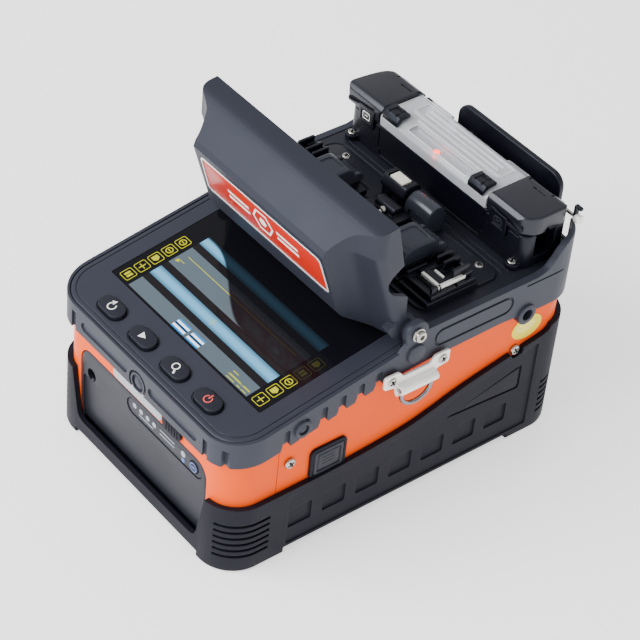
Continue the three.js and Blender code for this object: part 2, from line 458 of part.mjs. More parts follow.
// ---------------------------------------------------------------- side fittings
for (const side of SIDES) {
  const name = sideName(side);
  const wall = side * (BUMPER.halfX + 1.3);
  const faceOutline = outline([[-21, 77.6], [-21, 84.4], [-12, 84.4], [-10, 80], [5, 80], [7.5, 84.4],
    [16.5, 84.4], [16.5, 77.6], [8, 71.6], [-13, 71.6]]);
  const saddle = join(prismX(faceOutline, wall, wall + side * 1.5),
    barY(2.5, RING.y - 4, RING.y + 4, side * RING.x, RING.z),
    box(wall, side * RING.x, RING.y - 4, RING.y + 4, RING.z - 2.5, RING.z + 2.5));
  place(`strap_bracket_${name}`, cut(saddle, barY(1.5, -30, 30, side * RING.x, RING.z, 16)), COLOUR.steel,
    0.3, 0.9);
  const x = side * RING.x;
  const low = RING.z - RING.drop;
  const ring = join(barY(RING.wire, RING.y - RING.halfY, RING.y + RING.halfY, x, RING.z, 12),
    barY(RING.wire, RING.y - RING.halfY, RING.y + RING.halfY, x, low, 12),
    barZ(RING.wire, low, RING.z, x, RING.y - RING.halfY, 12),
    barZ(RING.wire, low, RING.z, x, RING.y + RING.halfY, 12));
  place(`d_ring_${name}`, ring, COLOUR.steel, 0.25, 1);
  for (const [end, at] of Object.entries(SCREWS)) {
    const head = barX(2.75, side * (HOUSING.halfX + GAP), side * (HOUSING.halfX + 2.1), at.y, at.z);
    place(`side_screw_${end}_${name}`, head, COLOUR.steel, 0.25, 1);
  }
}
place('release_button', prismX(roundRect(RELEASE.y - RELEASE.halfY, RELEASE.y + RELEASE.halfY,
  RELEASE.z - RELEASE.halfZ, RELEASE.z + RELEASE.halfZ, 1.2), 60, HOUSING.halfX + 1.8), COLOUR.key, 0.6);

export default splicer;
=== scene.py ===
"""Rugged fibre fusion splicer: its looks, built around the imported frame.

Blender works in metres; outlines and sizes below are in millimetres. +Z is up, and the operator
stands at -Y."""
import math
import bpy
from mathutils import Matrix, Vector


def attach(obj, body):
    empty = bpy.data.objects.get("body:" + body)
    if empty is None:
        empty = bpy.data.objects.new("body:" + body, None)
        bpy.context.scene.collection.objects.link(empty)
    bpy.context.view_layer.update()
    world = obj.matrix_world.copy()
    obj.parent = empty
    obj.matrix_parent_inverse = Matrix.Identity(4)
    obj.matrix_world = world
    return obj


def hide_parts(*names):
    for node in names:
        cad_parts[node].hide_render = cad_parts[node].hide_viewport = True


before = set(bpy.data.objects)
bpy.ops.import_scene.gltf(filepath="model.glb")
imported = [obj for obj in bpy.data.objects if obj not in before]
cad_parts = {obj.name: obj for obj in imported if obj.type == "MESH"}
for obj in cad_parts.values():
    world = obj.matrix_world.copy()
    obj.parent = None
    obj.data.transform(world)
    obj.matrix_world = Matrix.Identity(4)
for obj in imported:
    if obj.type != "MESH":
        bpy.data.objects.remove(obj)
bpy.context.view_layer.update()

bl_info = {
    "name": "Fusion Splicer Builder",
    "version": (1, 0, 0),
    "blender": (4, 5, 0),
    "location": "View3D > Sidebar > Splicer",
    "description": "Builds a rugged fibre fusion splicer piece by piece",
    "category": "Add Mesh",
}

MM = 0.001
SIDES = ((1, "right"), (-1, "left"))
BOOT_X, BOOT_Y, BOOT_CORNER = 68, 100.5, 18  # boot: half width, half length, corner radius
SHELL_X, SHELL_Y, SHELL_CORNER = 65.1, 97.6, 15.1  # middle housing, the same three
BAND_X = 69  # half width of the band around the top
GROOVES = (-72, -62, -52, -42, -32, -22)  # the band's upright grooves, along Y
FIBRE_Y = 27  # the fibre runs across the deck here
PIVOT_Y, PIVOT_Z = -2.5, 100  # the wind cover turns about this line
HINGE_Y, HINGE_Z = 92.6, 120.4  # the heater's lid and caps turn about this one
PANEL_TILT = math.radians(10)
PANEL_RISE = 94.9  # height of the tilted panel's plane at y = 0
PANEL = Matrix.Translation((0, 0, PANEL_RISE * MM)) @ Matrix.Rotation(PANEL_TILT, 4, "X")
BADGE_MIDDLE, BADGE_RISE = (0, -37.05 * MM, 129.45 * MM), math.atan2(22.6, -7.4)
BADGE = Matrix.Translation(BADGE_MIDDLE) @ Matrix.Rotation(BADGE_RISE, 4, "X")


# ------------------------------------------------------------------ colours
def linear(code):
    """A linear colour from an sRGB hex code."""
    parts = [int(code[i:i + 2], 16) / 255 for i in (1, 3, 5)]
    return tuple(c / 12.92 if c <= 0.04045 else ((c + 0.055) / 1.055) ** 2.4 for c in parts)


# ------------------------------------------------------------------ materials
class Tree:
    """A material's node tree, with one short call to add and wire a node."""

    def __init__(self, name):
        self.material = bpy.data.materials.new(name)
        self.material.use_nodes = True
        self.nodes = self.material.node_tree.nodes
        self.links = self.material.node_tree.links
        self.shader = self.nodes["Principled BSDF"]

    def add(self, kind, inputs=None, **settings):
        node = self.nodes.new("ShaderNode" + kind)
        for key, value in settings.items():
            setattr(node, key, value)
        for key, value in (inputs or {}).items():
            self.feed(node, key, value)
        return node

    def feed(self, node, key, value):
        socket = node.inputs[key]
        if isinstance(value, bpy.types.NodeSocket):
            self.links.new(value, socket)
        elif isinstance(value, tuple) and len(value) == 3 and socket.type == "RGBA":
            socket.default_value = (*value, 1)
        else:
            socket.default_value = value

    def math(self, operation, a, b=0.0, clamp=False):
        return self.add("Math", {0: a, 1: b}, operation=operation, use_clamp=clamp).outputs[0]

    def noise(self, size_mm, detail=3.0, stretch=(1, 1, 1)):
        """Noise whose grains are about size_mm across."""
        coords = self.add("TexCoord").outputs["Object"]
        scaled = self.add("Mapping", {"Vector": coords, "Scale": stretch}).outputs[0]
        return self.add("TexNoise", {"Vector": scaled, "Scale": 1 / (size_mm * MM),
                                     "Detail": detail}).outputs["Fac"]


def surface(name, colour, roughness, grain=0.5, bump=0.1, vary=0.05, metallic=0.0, coat=0.0, edge_wear_and_highlight=0.0,
            edge=0.35, stretch=(1, 1, 1), specular=0.3, sheen=(0.8, 0.86, 1.0)):
    """A moulded or machined finish: fine grain, cloudy variation, rounded edges painted paler, partly wear
    and partly a painted edge highlight.

    grain and edge are in mm. Spark-eroded moulding grain is about 0.05 mm across, too fine to show,
    so it is drawn at 0.28 mm or more. The cloudy variation is a hand's smear, about 26 mm across."""
    tree = Tree(name)
    cloud = tree.noise(26, 4)
    fine = tree.noise(grain, 2, stretch)
    round_edge = tree.add("Bevel", {"Radius": edge * MM}, samples=4).outputs[0]
    flat = tree.add("NewGeometry").outputs["Normal"]
    facing = tree.add("VectorMath", {0: round_edge, 1: flat}, operation="DOT_PRODUCT").outputs["Value"]
    # paler rounded edges: partly wear, partly a painted edge highlight, on every edge whichever way it faces
    rim = tree.add("MapRange", {"Value": facing, "From Min": 0.985, "From Max": 0.8,
                                "To Max": edge_wear_and_highlight}).outputs[0]
    shade = tree.add("MapRange", {"Value": cloud, "From Min": 0.3, "From Max": 0.7,
                                  "To Min": 1 - vary, "To Max": 1 + vary}).outputs[0]
    tinted = tree.add("VectorMath", {0: colour, "Scale": shade}, operation="SCALE").outputs[0]
    pale_edge_wear_and_highlight = tuple(min(1, c * 1.6 + 0.06) for c in colour)
    colour_with_edge_wear_and_highlight = tree.add("Mix", {"Factor": rim, 6: tinted, 7: pale_edge_wear_and_highlight}, data_type="RGBA").outputs[2]
    rough = tree.add("MapRange", {"Value": cloud, "From Min": 0.3, "From Max": 0.7,
                                  "To Min": roughness - 0.04, "To Max": roughness + 0.05}).outputs[0]
    relief = tree.add("Bump", {"Height": fine, "Strength": bump, "Distance": 0.12 * MM,
                               "Normal": round_edge}).outputs[0]
    for key, value in {"Base Color": colour_with_edge_wear_and_highlight, "Roughness": rough, "Metallic": metallic, "Normal": relief,
                       "Coat Weight": coat, "Coat Roughness": 0.12}.items():
        tree.feed(tree.shader, key, value)
    if not metallic:
        tree.feed(tree.shader, "Specular IOR Level", specular)
        tree.feed(tree.shader, "Specular Tint", sheen)
    return tree.material


def clear_plastic(name, colour):
    """Clear moulded lid: see-through faces, edges drawn white and less clear as a painted highlight, faint
    flow lines.
    """
    tree = Tree(name)
    flow = tree.noise(14, 1.5, (0.4, 1, 1))
    round_edge = tree.add("Bevel", {"Radius": 0.55 * MM}, samples=4).outputs[0]
    flat = tree.add("NewGeometry").outputs["Normal"]
    facing = tree.add("VectorMath", {0: round_edge, 1: flat}, operation="DOT_PRODUCT").outputs["Value"]
    # painted highlight: the rounded edges turn white and less see-through
    rim = tree.add("MapRange", {"Value": facing, "From Min": 0.99, "From Max": 0.85}).outputs[0]
    see_through = tree.add("MapRange", {"Value": rim, "To Min": 0.66, "To Max": 0.05}).outputs[0]
    tint_with_painted_edge_highlight = tree.add("Mix", {"Factor": rim, 6: colour, 7: (1.0, 1.0, 1.0)}, data_type="RGBA").outputs[2]
    rough = tree.add("MapRange", {"Value": flow, "To Min": 0.1, "To Max": 0.16}).outputs[0]
    relief = tree.add("Bump", {"Height": flow, "Strength": 0.05, "Distance": 0.2 * MM}).outputs[0]
    for key, value in {"Base Color": tint_with_painted_edge_highlight, "Roughness": rough, "Transmission Weight": see_through,
                       "IOR": 1.25, "Normal": relief, "Coat Weight": 0.3, "Coat Roughness": 0.05}.items():
        tree.feed(tree.shader, key, value)
    return tree.material


def display(name, colour, strength=1.0, centre=None, half=1.0):
    """Lit picture on the screen, with painted shade: it fades past a curved line where the open cover looms
    over it, a dark reflection of the cover painted in place on the panel.

    centre and half (mm up the panel) give a band with a bright middle and darker edges."""
    tree = Tree(name)
    place = tree.add("SeparateXYZ", {0: tree.add("TexCoord").outputs["Object"]})
    sideways = place.outputs[0]
    along = tree.math("DIVIDE", place.outputs[1], MM * math.cos(PANEL_TILT))
    eased = {"interpolation_type": "SMOOTHSTEP"}
    # painted shade: past a curved line across the panel the picture dims to 4.5 %, standing in for the open
    # cover's dark reflection
    cover_shade_edge = tree.add("MapRange", {"Value": sideways, "From Min": -0.040, "From Max": 0.014,
                                  "To Min": -32.5, "To Max": -55.5}, **eased).outputs[0]
    past_cover_shade_edge = tree.math("SUBTRACT", along, cover_shade_edge)
    picture_level_with_painted_shade = tree.add("MapRange", {"Value": past_cover_shade_edge, "From Min": -0.6, "From Max": 0.9,
                                "To Min": 1.0, "To Max": 0.045}, **eased).outputs[0]
    if centre is not None:
        offset = tree.math("ABSOLUTE", tree.math("SUBTRACT", along, centre))
        band = tree.add("MapRange", {"Value": offset, "From Min": 0.2 * half, "From Max": half,
                                     "To Min": 1.0, "To Max": 0.42}, **eased).outputs[0]
        picture_level_with_painted_shade = tree.math("MULTIPLY", picture_level_with_painted_shade, band)
    grain = tree.add("MapRange", {"Value": tree.noise(1.5, 2), "To Min": 0.94, "To Max": 1.06}).outputs[0]
    power = tree.math("MULTIPLY", tree.math("MULTIPLY", picture_level_with_painted_shade, grain), strength)
    for key, value in {"Base Color": (0.004, 0.004, 0.006), "Roughness": 0.1, "Specular IOR Level": 0.12,
                       "Emission Color": colour, "Emission Strength": power}.items():
        tree.feed(tree.shader, key, value)
    return tree.material


def glowing(name, colour, strength):
    """A small lit lamp with a hotter middle."""
    tree = Tree(name)
    flicker = tree.add("MapRange", {"Value": tree.noise(1.2, 2), "To Min": 0.8 * strength,
                                    "To Max": 1.2 * strength}).outputs[0]
    for key, value in {"Base Color": colour, "Roughness": 0.3, "Emission Color": colour,
                       "Emission Strength": flicker}.items():
        tree.feed(tree.shader, key, value)
    return tree.material


def ink(name, colour):
    """Pad-printed ink: flat, matt, a little thin in places."""
    return surface(name, colour, 0.5, grain=0.4, bump=0.05, vary=0.03, edge=0.1)


LOOKS = {}


def make_looks(colours):
    """Every finish of the splicer, keyed by a short name."""
    c = {key: tuple(getattr(colours, key)) for key in colours.__annotations__}
    LOOKS.update({
        # injection-moulded rubber from a spark-eroded tool: matt, speckled, paler edges, partly rubbed and
        # partly a painted edge highlight
        "boot": surface("boot_moulded_rubber", c["boot"], 0.62, grain=0.45, bump=0.35, vary=0.12,
                        edge_wear_and_highlight=0.25, edge=0.6, specular=0.2),
        # satin moulded ABS: even colour with a soft, warm sheen
        "orange": surface("shell_satin_abs", c["shell"], 0.4, grain=0.35, bump=0.12, vary=0.025,
                          edge=0.5, specular=0.1, sheen=(1.0, 0.7, 0.5)),
        # soft-touch elastomer moulded over the band: dull highlights, pale edges, partly rubbed and partly a
        # painted edge highlight
        "bumper": surface("bumper_soft_touch", c["bumper"], 0.46, grain=0.4, bump=0.22, vary=0.06,
                          edge_wear_and_highlight=0.22, edge=0.6),
        # satin moulded polycarbonate blend: smooth, with clear soft highlights
        "panel": surface("panel_satin_plastic", c["panel"], 0.36, grain=0.3, bump=0.1, vary=0.04,
                         edge_wear_and_highlight=0.2, edge=0.5),
        # painted magnesium casting: very fine satin, bright along its edges, partly worn and partly a painted
        # edge highlight
        "cover": surface("cover_fine_satin", c["cover"], 0.46, grain=0.28, bump=0.14, vary=0.045,
                         edge_wear_and_highlight=0.3, edge=0.45),
        # moulded black nylon: deep black with a slight gleam
        "black": surface("black_moulded_nylon", c["black"], 0.34, grain=0.35, bump=0.14, vary=0.08,
                         edge_wear_and_highlight=0.2, edge=0.4),
        # polished and lacquered ABS of the heater caps: sharp reflections under a thin coat
        "gloss": surface("heater_cap_gloss", linear("#16161E"), 0.26, grain=0.4, bump=0.05, vary=0.05,
                         edge_wear_and_highlight=0.15, edge=0.6, coat=0.3),
        # satin moulded ABS of the battery case: darker and duller than the panel
        "battery": surface("battery_satin_plastic", linear("#191A21"), 0.42, grain=0.3, bump=0.12,
                           vary=0.05, edge_wear_and_highlight=0.2, edge=0.5),
        # moulded silicone keys: soft satin with rounded, paler edges
        "key": surface("key_satin_silicone", c["key"], 0.42, grain=0.3, bump=0.1, vary=0.05, edge_wear_and_highlight=0.25,
                       edge=0.7),
        # zinc-plated steel, lightly brushed: bright, streaked along one way
        "steel": surface("steel_zinc_plated", c["steel"], 0.24, grain=0.3, bump=0.12, vary=0.08,
                         metallic=1.0, edge=0.3, stretch=(1, 0.15, 1)),
        # nickel-plated sheet with a satin brush: pale and softly streaked
        "bracket": surface("bracket_nickel_satin", c["bracket"], 0.38, grain=0.3, bump=0.1, vary=0.04,
                           metallic=0.35, edge=0.4, stretch=(1, 0.1, 1)),
        # polished chrome wire: mirror-like; its colour is darkened all over, a painted reflection of the dark
        # rubber around it
        "chrome": surface("chrome_polished", linear("#7C7C80"), 0.14, grain=0.6, bump=0.03, vary=0.03,
                          metallic=1.0, edge=0.3),
        # bright chrome trim: colour almost white, a painted reflection of white surroundings, with a soft
        # real reflection over it
        "rim": surface("badge_rim_bright", linear("#F2F3F5"), 0.3, grain=0.6, bump=0.03, vary=0.03,
                       metallic=0.5, edge=0.2),
        # satin moulded ABS of the deck: dark, with faint edges
        "deck": surface("deck_satin_plastic", linear("#1B1C24"), 0.38, grain=0.3, bump=0.12, vary=0.05,
                        edge_wear_and_highlight=0.22, edge=0.5),
        # lacquered sheet: deep red with a clean highlight
        "red": surface("badge_red_lacquer", c["badge"], 0.3, grain=0.5, bump=0.05, vary=0.1,
                       specular=0.15, edge=0.2),
        # pad-printed inks of the keys and the lamp strip
        "white": ink("printed_white", c["white"]),
        "red_ink": ink("printed_red", linear("#E0554C")),
        "grey_ink": ink("printed_grey", linear("#9AA0A8")),
        "blue_ink": ink("printed_blue", linear("#5A6CA8")),
        # frosted polycarbonate strip: pale, even, slightly milky
        "grey": surface("strip_frosted_grey", linear("#A2A4AA"), 0.34, grain=0.4, bump=0.08, vary=0.04,
                        edge=0.4),
        # polished dark ABS under a coat: the glossiest of the deck's fittings
        "lens": surface("lens_block_grey", linear("#2A2D36"), 0.22, grain=0.5, bump=0.04, vary=0.04,
                        edge=0.6, coat=0.3),
        # opal acrylic pane: warm white, smooth
        "lamp": surface("lamp_window_white", linear("#E4E2D4"), 0.3, grain=0.5, bump=0.04, vary=0.03,
                        edge=0.2),
        # turned brass: yellow metal with fine marks
        "brass": surface("contact_brass", linear("#B08A4E"), 0.3, grain=0.3, bump=0.1, vary=0.05,
                         metallic=1.0, edge=0.2),
        # painted shade: a near-black finish put inside holes and recesses, where no light comes back
        "hole": surface("dark_recess", linear("#08080B"), 0.7, grain=0.5, bump=0.1, vary=0.05,
                        edge=0.2, specular=0.15),
        # brittle printed paper seal: crinkled, uneven colour, 2 mm creases
        "sticker": surface("seal_paper_yellow", linear("#F2DA12"), 0.4, grain=2.2, bump=0.25,
                           vary=0.12, edge=0.2),
        "sticker_pale": surface("seal_paper_pale", linear("#F3E76A"), 0.4, grain=2.2, bump=0.2,
                                vary=0.08, edge=0.2),
        # solder-masked circuit board: glossy green with cloudy copper beneath
        "board": surface("circuit_board_green", linear("#24562F"), 0.4, grain=0.6, bump=0.2, vary=0.1,
                         edge=0.2),
        # clear moulded polycarbonate of the heater lid
        "clear": clear_plastic("heater_lid_clear", c["lid"]),
        # the screen: black glass, and the lit colours of its picture, dimmed by painted shade where the cover
        # looms over it
        "glass_black": display("screen_black", linear("#020206"), 0.2),
        "sky": display("screen_grey_blue", linear("#6F808A"), 1.0),
        "fibre_a": display("screen_fibre_front", linear("#7ECBF8"), 1.3, centre=-62.1, half=3.3),
        "fibre_b": display("screen_fibre_rear", linear("#7ECBF8"), 1.3, centre=-34.6, half=3.0),
        "dark_band": display("screen_cladding_dark", linear("#1C1816"), 1.0),
        "yellow": display("screen_yellow", linear("#E2DE10"), 1.25),
        "ui_white": display("screen_white", linear("#F8FAFC"), 2.2),
        "ui_blue": display("screen_blue", linear("#1792E2"), 1.4),
        # lit red lamp of the heater
        "led": glowing("heater_lamp_red", linear("#FF3A24"), 6.0),
    })


# ------------------------------------------------------------------ outlines (mm)
def arc(cx, cy, r, start, end, steps):
    """Points on a circle, angles in degrees."""
    turn = (math.radians(start + (end - start) * i / steps) for i in range(steps + 1))
    return [(cx + r * math.cos(t), cy + r * math.sin(t)) for t in turn]


def circle(cx, cy, r, steps=36):
    """A round outline, or a regular polygon with few steps."""
    return arc(cx, cy, r, 0, 360 * (1 - 1 / steps), steps - 1)


def rect(x0, x1, y0, y1):
    return [(x0, y0), (x1, y0), (x1, y1), (x0, y1)]


def rounded(x0, x1, y0, y1, r, steps=8):
    """A rectangle with round corners."""
    return (arc(x1 - r, y1 - r, r, 0, 90, steps) + arc(x0 + r, y1 - r, r, 90, 180, steps)
            + arc(x0 + r, y0 + r, r, 180, 270, steps) + arc(x1 - r, y0 + r, r, 270, 360, steps))


def smooth(points, steps=5):
    """A soft curve through an open run of points, as a cardinal spline."""
    padded = [points[0]] + list(points) + [points[-1]]
    out = []
    for a, b, c, d in zip(padded, padded[1:], padded[2:], padded[3:]):
        for i in range(steps):
            t = i / steps
            out.append(tuple(0.5 * (2 * q + (r - p) * t + (2 * p - 5 * q + 4 * r - s) * t * t
                                    + (3 * q - p - 3 * r + s) * t ** 3) for p, q, r, s in zip(a, b, c, d)))
    return out + [tuple(points[-1])]


def filleted(corners, r, steps=4):
    """A polygon whose corners are cut by soft curves of about radius r."""
    out = []
    count = len(corners)
    for i, point in enumerate(corners):
        here = Vector(point)
        before, after = Vector(corners[i - 1]) - here, Vector(corners[(i + 1) % count]) - here
        reach = min(r, before.length * 0.45, after.length * 0.45)
        a, b = here + before.normalized() * reach, here + after.normalized() * reach
        for k in range(steps + 1):
            t = k / steps
            out.append(tuple(a * (1 - t) ** 2 + here * 2 * t * (1 - t) + b * t * t))
    return out


# ------------------------------------------------------------------ modelling
PLACE = {"X": lambda a, b, h: (h, a, b), "Y": lambda a, b, h: (a, h, b), "Z": lambda a, b, h: (a, b, h)}


def clear_selection():
    """Leaves edit mode and selects nothing."""
    if bpy.context.object and bpy.context.object.mode != "OBJECT":
        bpy.ops.object.mode_set(mode="OBJECT")
    bpy.ops.object.select_all(action="DESELECT")


def activate(obj):
    """Selects one object and makes it the active one."""
    clear_selection()
    obj.select_set(True)
    bpy.context.view_layer.objects.active = obj


def apply_modifier(obj, kind, **settings):
    """Adds a modifier with its settings and applies it."""
    activate(obj)
    modifier = obj.modifiers.new(kind.lower(), kind)
    for key, value in settings.items():
        setattr(modifier, key, value)
    bpy.ops.object.modifier_apply(modifier=modifier.name)


def prism(outline, low, high, axis="Z", bevel=0.0, segments=3):
    """A circle drawn onto an outline (mm), extruded along an axis, its edges rounded."""
    low, high = min(low, high), max(low, high)
    clear_selection()
    bpy.ops.mesh.primitive_circle_add(vertices=len(outline), radius=0.01, fill_type="NGON")
    obj = bpy.context.object
    for vertex, (a, b) in zip(obj.data.vertices, outline):
        vertex.co = Vector(PLACE[axis](a, b, low)) * MM
    bpy.ops.object.mode_set(mode="EDIT")
    bpy.ops.mesh.select_all(action="SELECT")
    bpy.ops.mesh.extrude_region_move(
        TRANSFORM_OT_translate={"value": Vector(PLACE[axis](0, 0, high - low)) * MM})
    bpy.ops.mesh.select_all(action="SELECT")
    bpy.ops.mesh.remove_doubles(threshold=1e-6)
    bpy.ops.mesh.normals_make_consistent(inside=False)
    bpy.ops.object.mode_set(mode="OBJECT")
    if bevel:
        soften(obj, bevel, segments)
    return obj


def soften(obj, width, segments=3):
    """Rounds every edge sharper than 40 degrees."""
    apply_modifier(obj, "BEVEL", width=width * MM, segments=segments, limit_method="ANGLE",
                   angle_limit=math.radians(40), use_clamp_overlap=True)
    return obj


def block(x0, x1, y0, y1, z0, z1, bevel=0.0, segments=2):
    """A box between two corners; its X ends may come in either order."""
    x0, x1 = min(x0, x1), max(x0, x1)
    return prism(rect(x0, x1, y0, y1), z0, z1, "Z", bevel, segments)


def rod(r, low, high, a, b, axis, bevel=0.0, steps=36):
    """A round bar along an axis; a and b are its centre on the other two."""
    return prism(circle(a, b, r, steps), low, high, axis, bevel, 2)


def across(side, outline, x0, x1, bevel=0.0):
    """A prism along X, on the right (side 1) or mirrored on the left (side -1)."""
    return prism(outline, side * x0, side * x1, "X", bevel)


def brick(side, x0, x1, y0, y1, z0, z1, bevel=0.0):
    """A box on one side of the tool."""
    return block(side * x0, side * x1, y0, y1, z0, z1, bevel)


def pin(side, r, x0, x1, at, bevel=0.0, steps=36):
    """A round bar along X on one side of the tool; at is its (y, z)."""
    return rod(r, side * x0, side * x1, *at, "X", bevel, steps)


def turned(profile, centre, axis, steps=40):
    """A closed (radius, height) outline spun about an axis through centre (mm)."""
    clear_selection()
    bpy.ops.mesh.primitive_circle_add(vertices=len(profile), radius=0.01, fill_type="NOTHING")
    obj = bpy.context.object
    for vertex, (r, h) in zip(obj.data.vertices, profile):
        vertex.co = Vector((r, 0, h)) * MM
    bpy.ops.object.mode_set(mode="EDIT")
    bpy.ops.mesh.select_all(action="SELECT")
    bpy.ops.mesh.spin(steps=steps, angle=2 * math.pi, center=(0, 0, 0), axis=(0, 0, 1))
    bpy.ops.mesh.select_all(action="SELECT")
    bpy.ops.mesh.remove_doubles(threshold=2e-6)
    bpy.ops.mesh.normals_make_consistent(inside=False)
    bpy.ops.object.mode_set(mode="OBJECT")
    turn = Vector((0, 0, 1)).rotation_difference(Vector(axis)).to_matrix().to_4x4()
    obj.data.transform(Matrix.Translation(Vector(centre) * MM) @ turn)
    return obj


def boolean(obj, others, operation):
    """Joins or cuts an object with others, which are used up."""
    for other in others:
        apply_modifier(obj, "BOOLEAN", object=other, operation=operation, solver="MANIFOLD")
        bpy.data.objects.remove(other)
    return obj


def carve(obj, *cutters):
    return boolean(obj, cutters, "DIFFERENCE")


def weld(obj, *parts):
    return boolean(obj, parts, "UNION")


def keep(obj, *parts):
    return boolean(obj, parts, "INTERSECT")


def merge(*objs):
    """Pieces of one finish, or of several, gathered as one object with all their slots."""
    clear_selection()
    for obj in objs:
        obj.select_set(True)
    bpy.context.view_layer.objects.active = objs[0]
    bpy.ops.object.join()
    return bpy.context.object


def paint(obj, look):
    """Gives a piece, or a CAD node, one finish all over."""
    obj.data.materials.clear()
    obj.data.materials.append(LOOKS[look])
    return obj


def moved(obj, matrix):
    """Places a piece by moving its mesh, so that the object stays at the origin."""
    obj.data.transform(matrix)
    return obj


def finish(obj, name, body, look=None, stands_for=(), angle=32):
    """Names, paints and smooths a finished piece and hangs it on its body of the frame."""
    obj.name = obj.data.name = name
    if look:
        paint(obj, look)
    activate(obj)
    bpy.ops.object.shade_smooth_by_angle(angle=math.radians(angle))
    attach(obj, body)
    if stands_for:
        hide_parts(*stands_for)
    return obj


def screw(centre, axis, r, proud):
    """A domed screw head, proud of its seat by proud mm, with a cross recess whose floor holds painted shade.
    """
    profile = [(0, 0), (r, 0), (r, proud * 0.45), (r * 0.86, proud * 0.8), (r * 0.5, proud * 0.97),
               (0, proud)]
    head = turned(profile, (0, 0, 0), (0, 0, 1), 28)
    arm, width = r * 0.66, r * 0.2
    carve(head, block(-arm, arm, -width, width, proud * 0.25, proud + 1),
          block(-width, width, -arm, arm, proud * 0.25, proud + 1))
    # near-black bars at the floor of the cross recess: painted shade
    arm, width, depth = arm + 0.1, width + 0.1, (proud * 0.2, proud * 0.3)
    painted_shade_bars = [block(-arm, arm, -width, width, *depth), block(-width, width, -arm, arm, *depth)]
    head = merge(paint(head, "steel"), *[paint(bar, "hole") for bar in painted_shade_bars])
    turn = Vector((0, 0, 1)).rotation_difference(Vector(axis)).to_matrix().to_4x4()
    tilt = Matrix.Rotation(0.5, 4, "Z")
    return moved(head, Matrix.Translation(Vector(centre) * MM) @ turn @ tilt)


def panel_z(y):
    """Height of the tilted panel's plane."""
    return PANEL_RISE + math.tan(PANEL_TILT) * y


def plan(half_x, front, rear, corner, steps):
    """A round-cornered outline seen from above, the same on the left and right."""
    return rounded(-half_x, half_x, -front, rear, corner, steps)


def shell_outline(grow=0.0):
    """The middle housing's outline, grown or, below zero, shrunk."""
    return plan(SHELL_X + grow, SHELL_Y + grow, SHELL_Y + grow, SHELL_CORNER + grow, 14)


# ------------------------------------------------------------------ settings
def colour_setting(name, text, code):
    """A base colour with its default as a hex code."""
    return bpy.props.FloatVectorProperty(name=name, description=text, subtype="COLOR", size=3, min=0, max=1,
                                         default=linear(code))


def length_setting(name, text, value):
    """A length whose default is given in mm."""
    return bpy.props.FloatProperty(name=name, description=text, subtype="DISTANCE", unit="LENGTH",
                                   default=value * MM)


class SplicerColours(bpy.types.PropertyGroup):
    """Base colours of the splicer's finishes."""
    boot: colour_setting("Boot", "Rubber boot around the base", "#12111A")
    shell: colour_setting("Shell", "Coloured middle housing", "#F45404")
    bumper: colour_setting("Bumper", "Soft band around the top", "#2C2E38")
    panel: colour_setting("Panel", "Bezel, deck and battery", "#2B2D37")
    cover: colour_setting("Cover", "Wind cover", "#22242E")
    black: colour_setting("Black", "Heater and splicing fittings", "#0B0B14")
    key: colour_setting("Keys", "Push keys", "#1A1B23")
    steel: colour_setting("Steel", "Screws and rings", "#B4B1AB")
    bracket: colour_setting("Bracket", "Strap brackets", "#F0EFEA")
    badge: colour_setting("Badge", "Badge plate", "#B51C06")
    white: colour_setting("White", "Printed symbols", "#F2F2EE")
    lid: colour_setting("Lid", "Clear heater lid", "#F2F5FB")


class SplicerSizes(bpy.types.PropertyGroup):
    """Sizes of the splicer's fine detail."""
    groove_depth: length_setting("Groove depth", "Depth of the bumper's and boot's grooves", 1.3)
    recess_depth: length_setting("Recess depth", "Depth of the boot's square recesses", 0.9)
    screw_radius: length_setting("Screw radius", "Radius of the side screws' heads", 2.7)
    rib_height: length_setting("Rib height", "Height of the ribs on the heater lid", 0.9)


def size(context, key):
    """A setting in millimetres."""
    return getattr(context.scene.splicer_sizes, key) / MM


# ------------------------------------------------------------------ lower body
# upper edge of the boot's sides, as (y, z)
BOOT_RIM = [(-70, 38), (-38, 38.6), (-4, 41.4), (13.5, 45), (25, 48.4), (36.5, 51.2), (54, 54.7), (66, 57),
            (81, 60), (85, 63.4)]


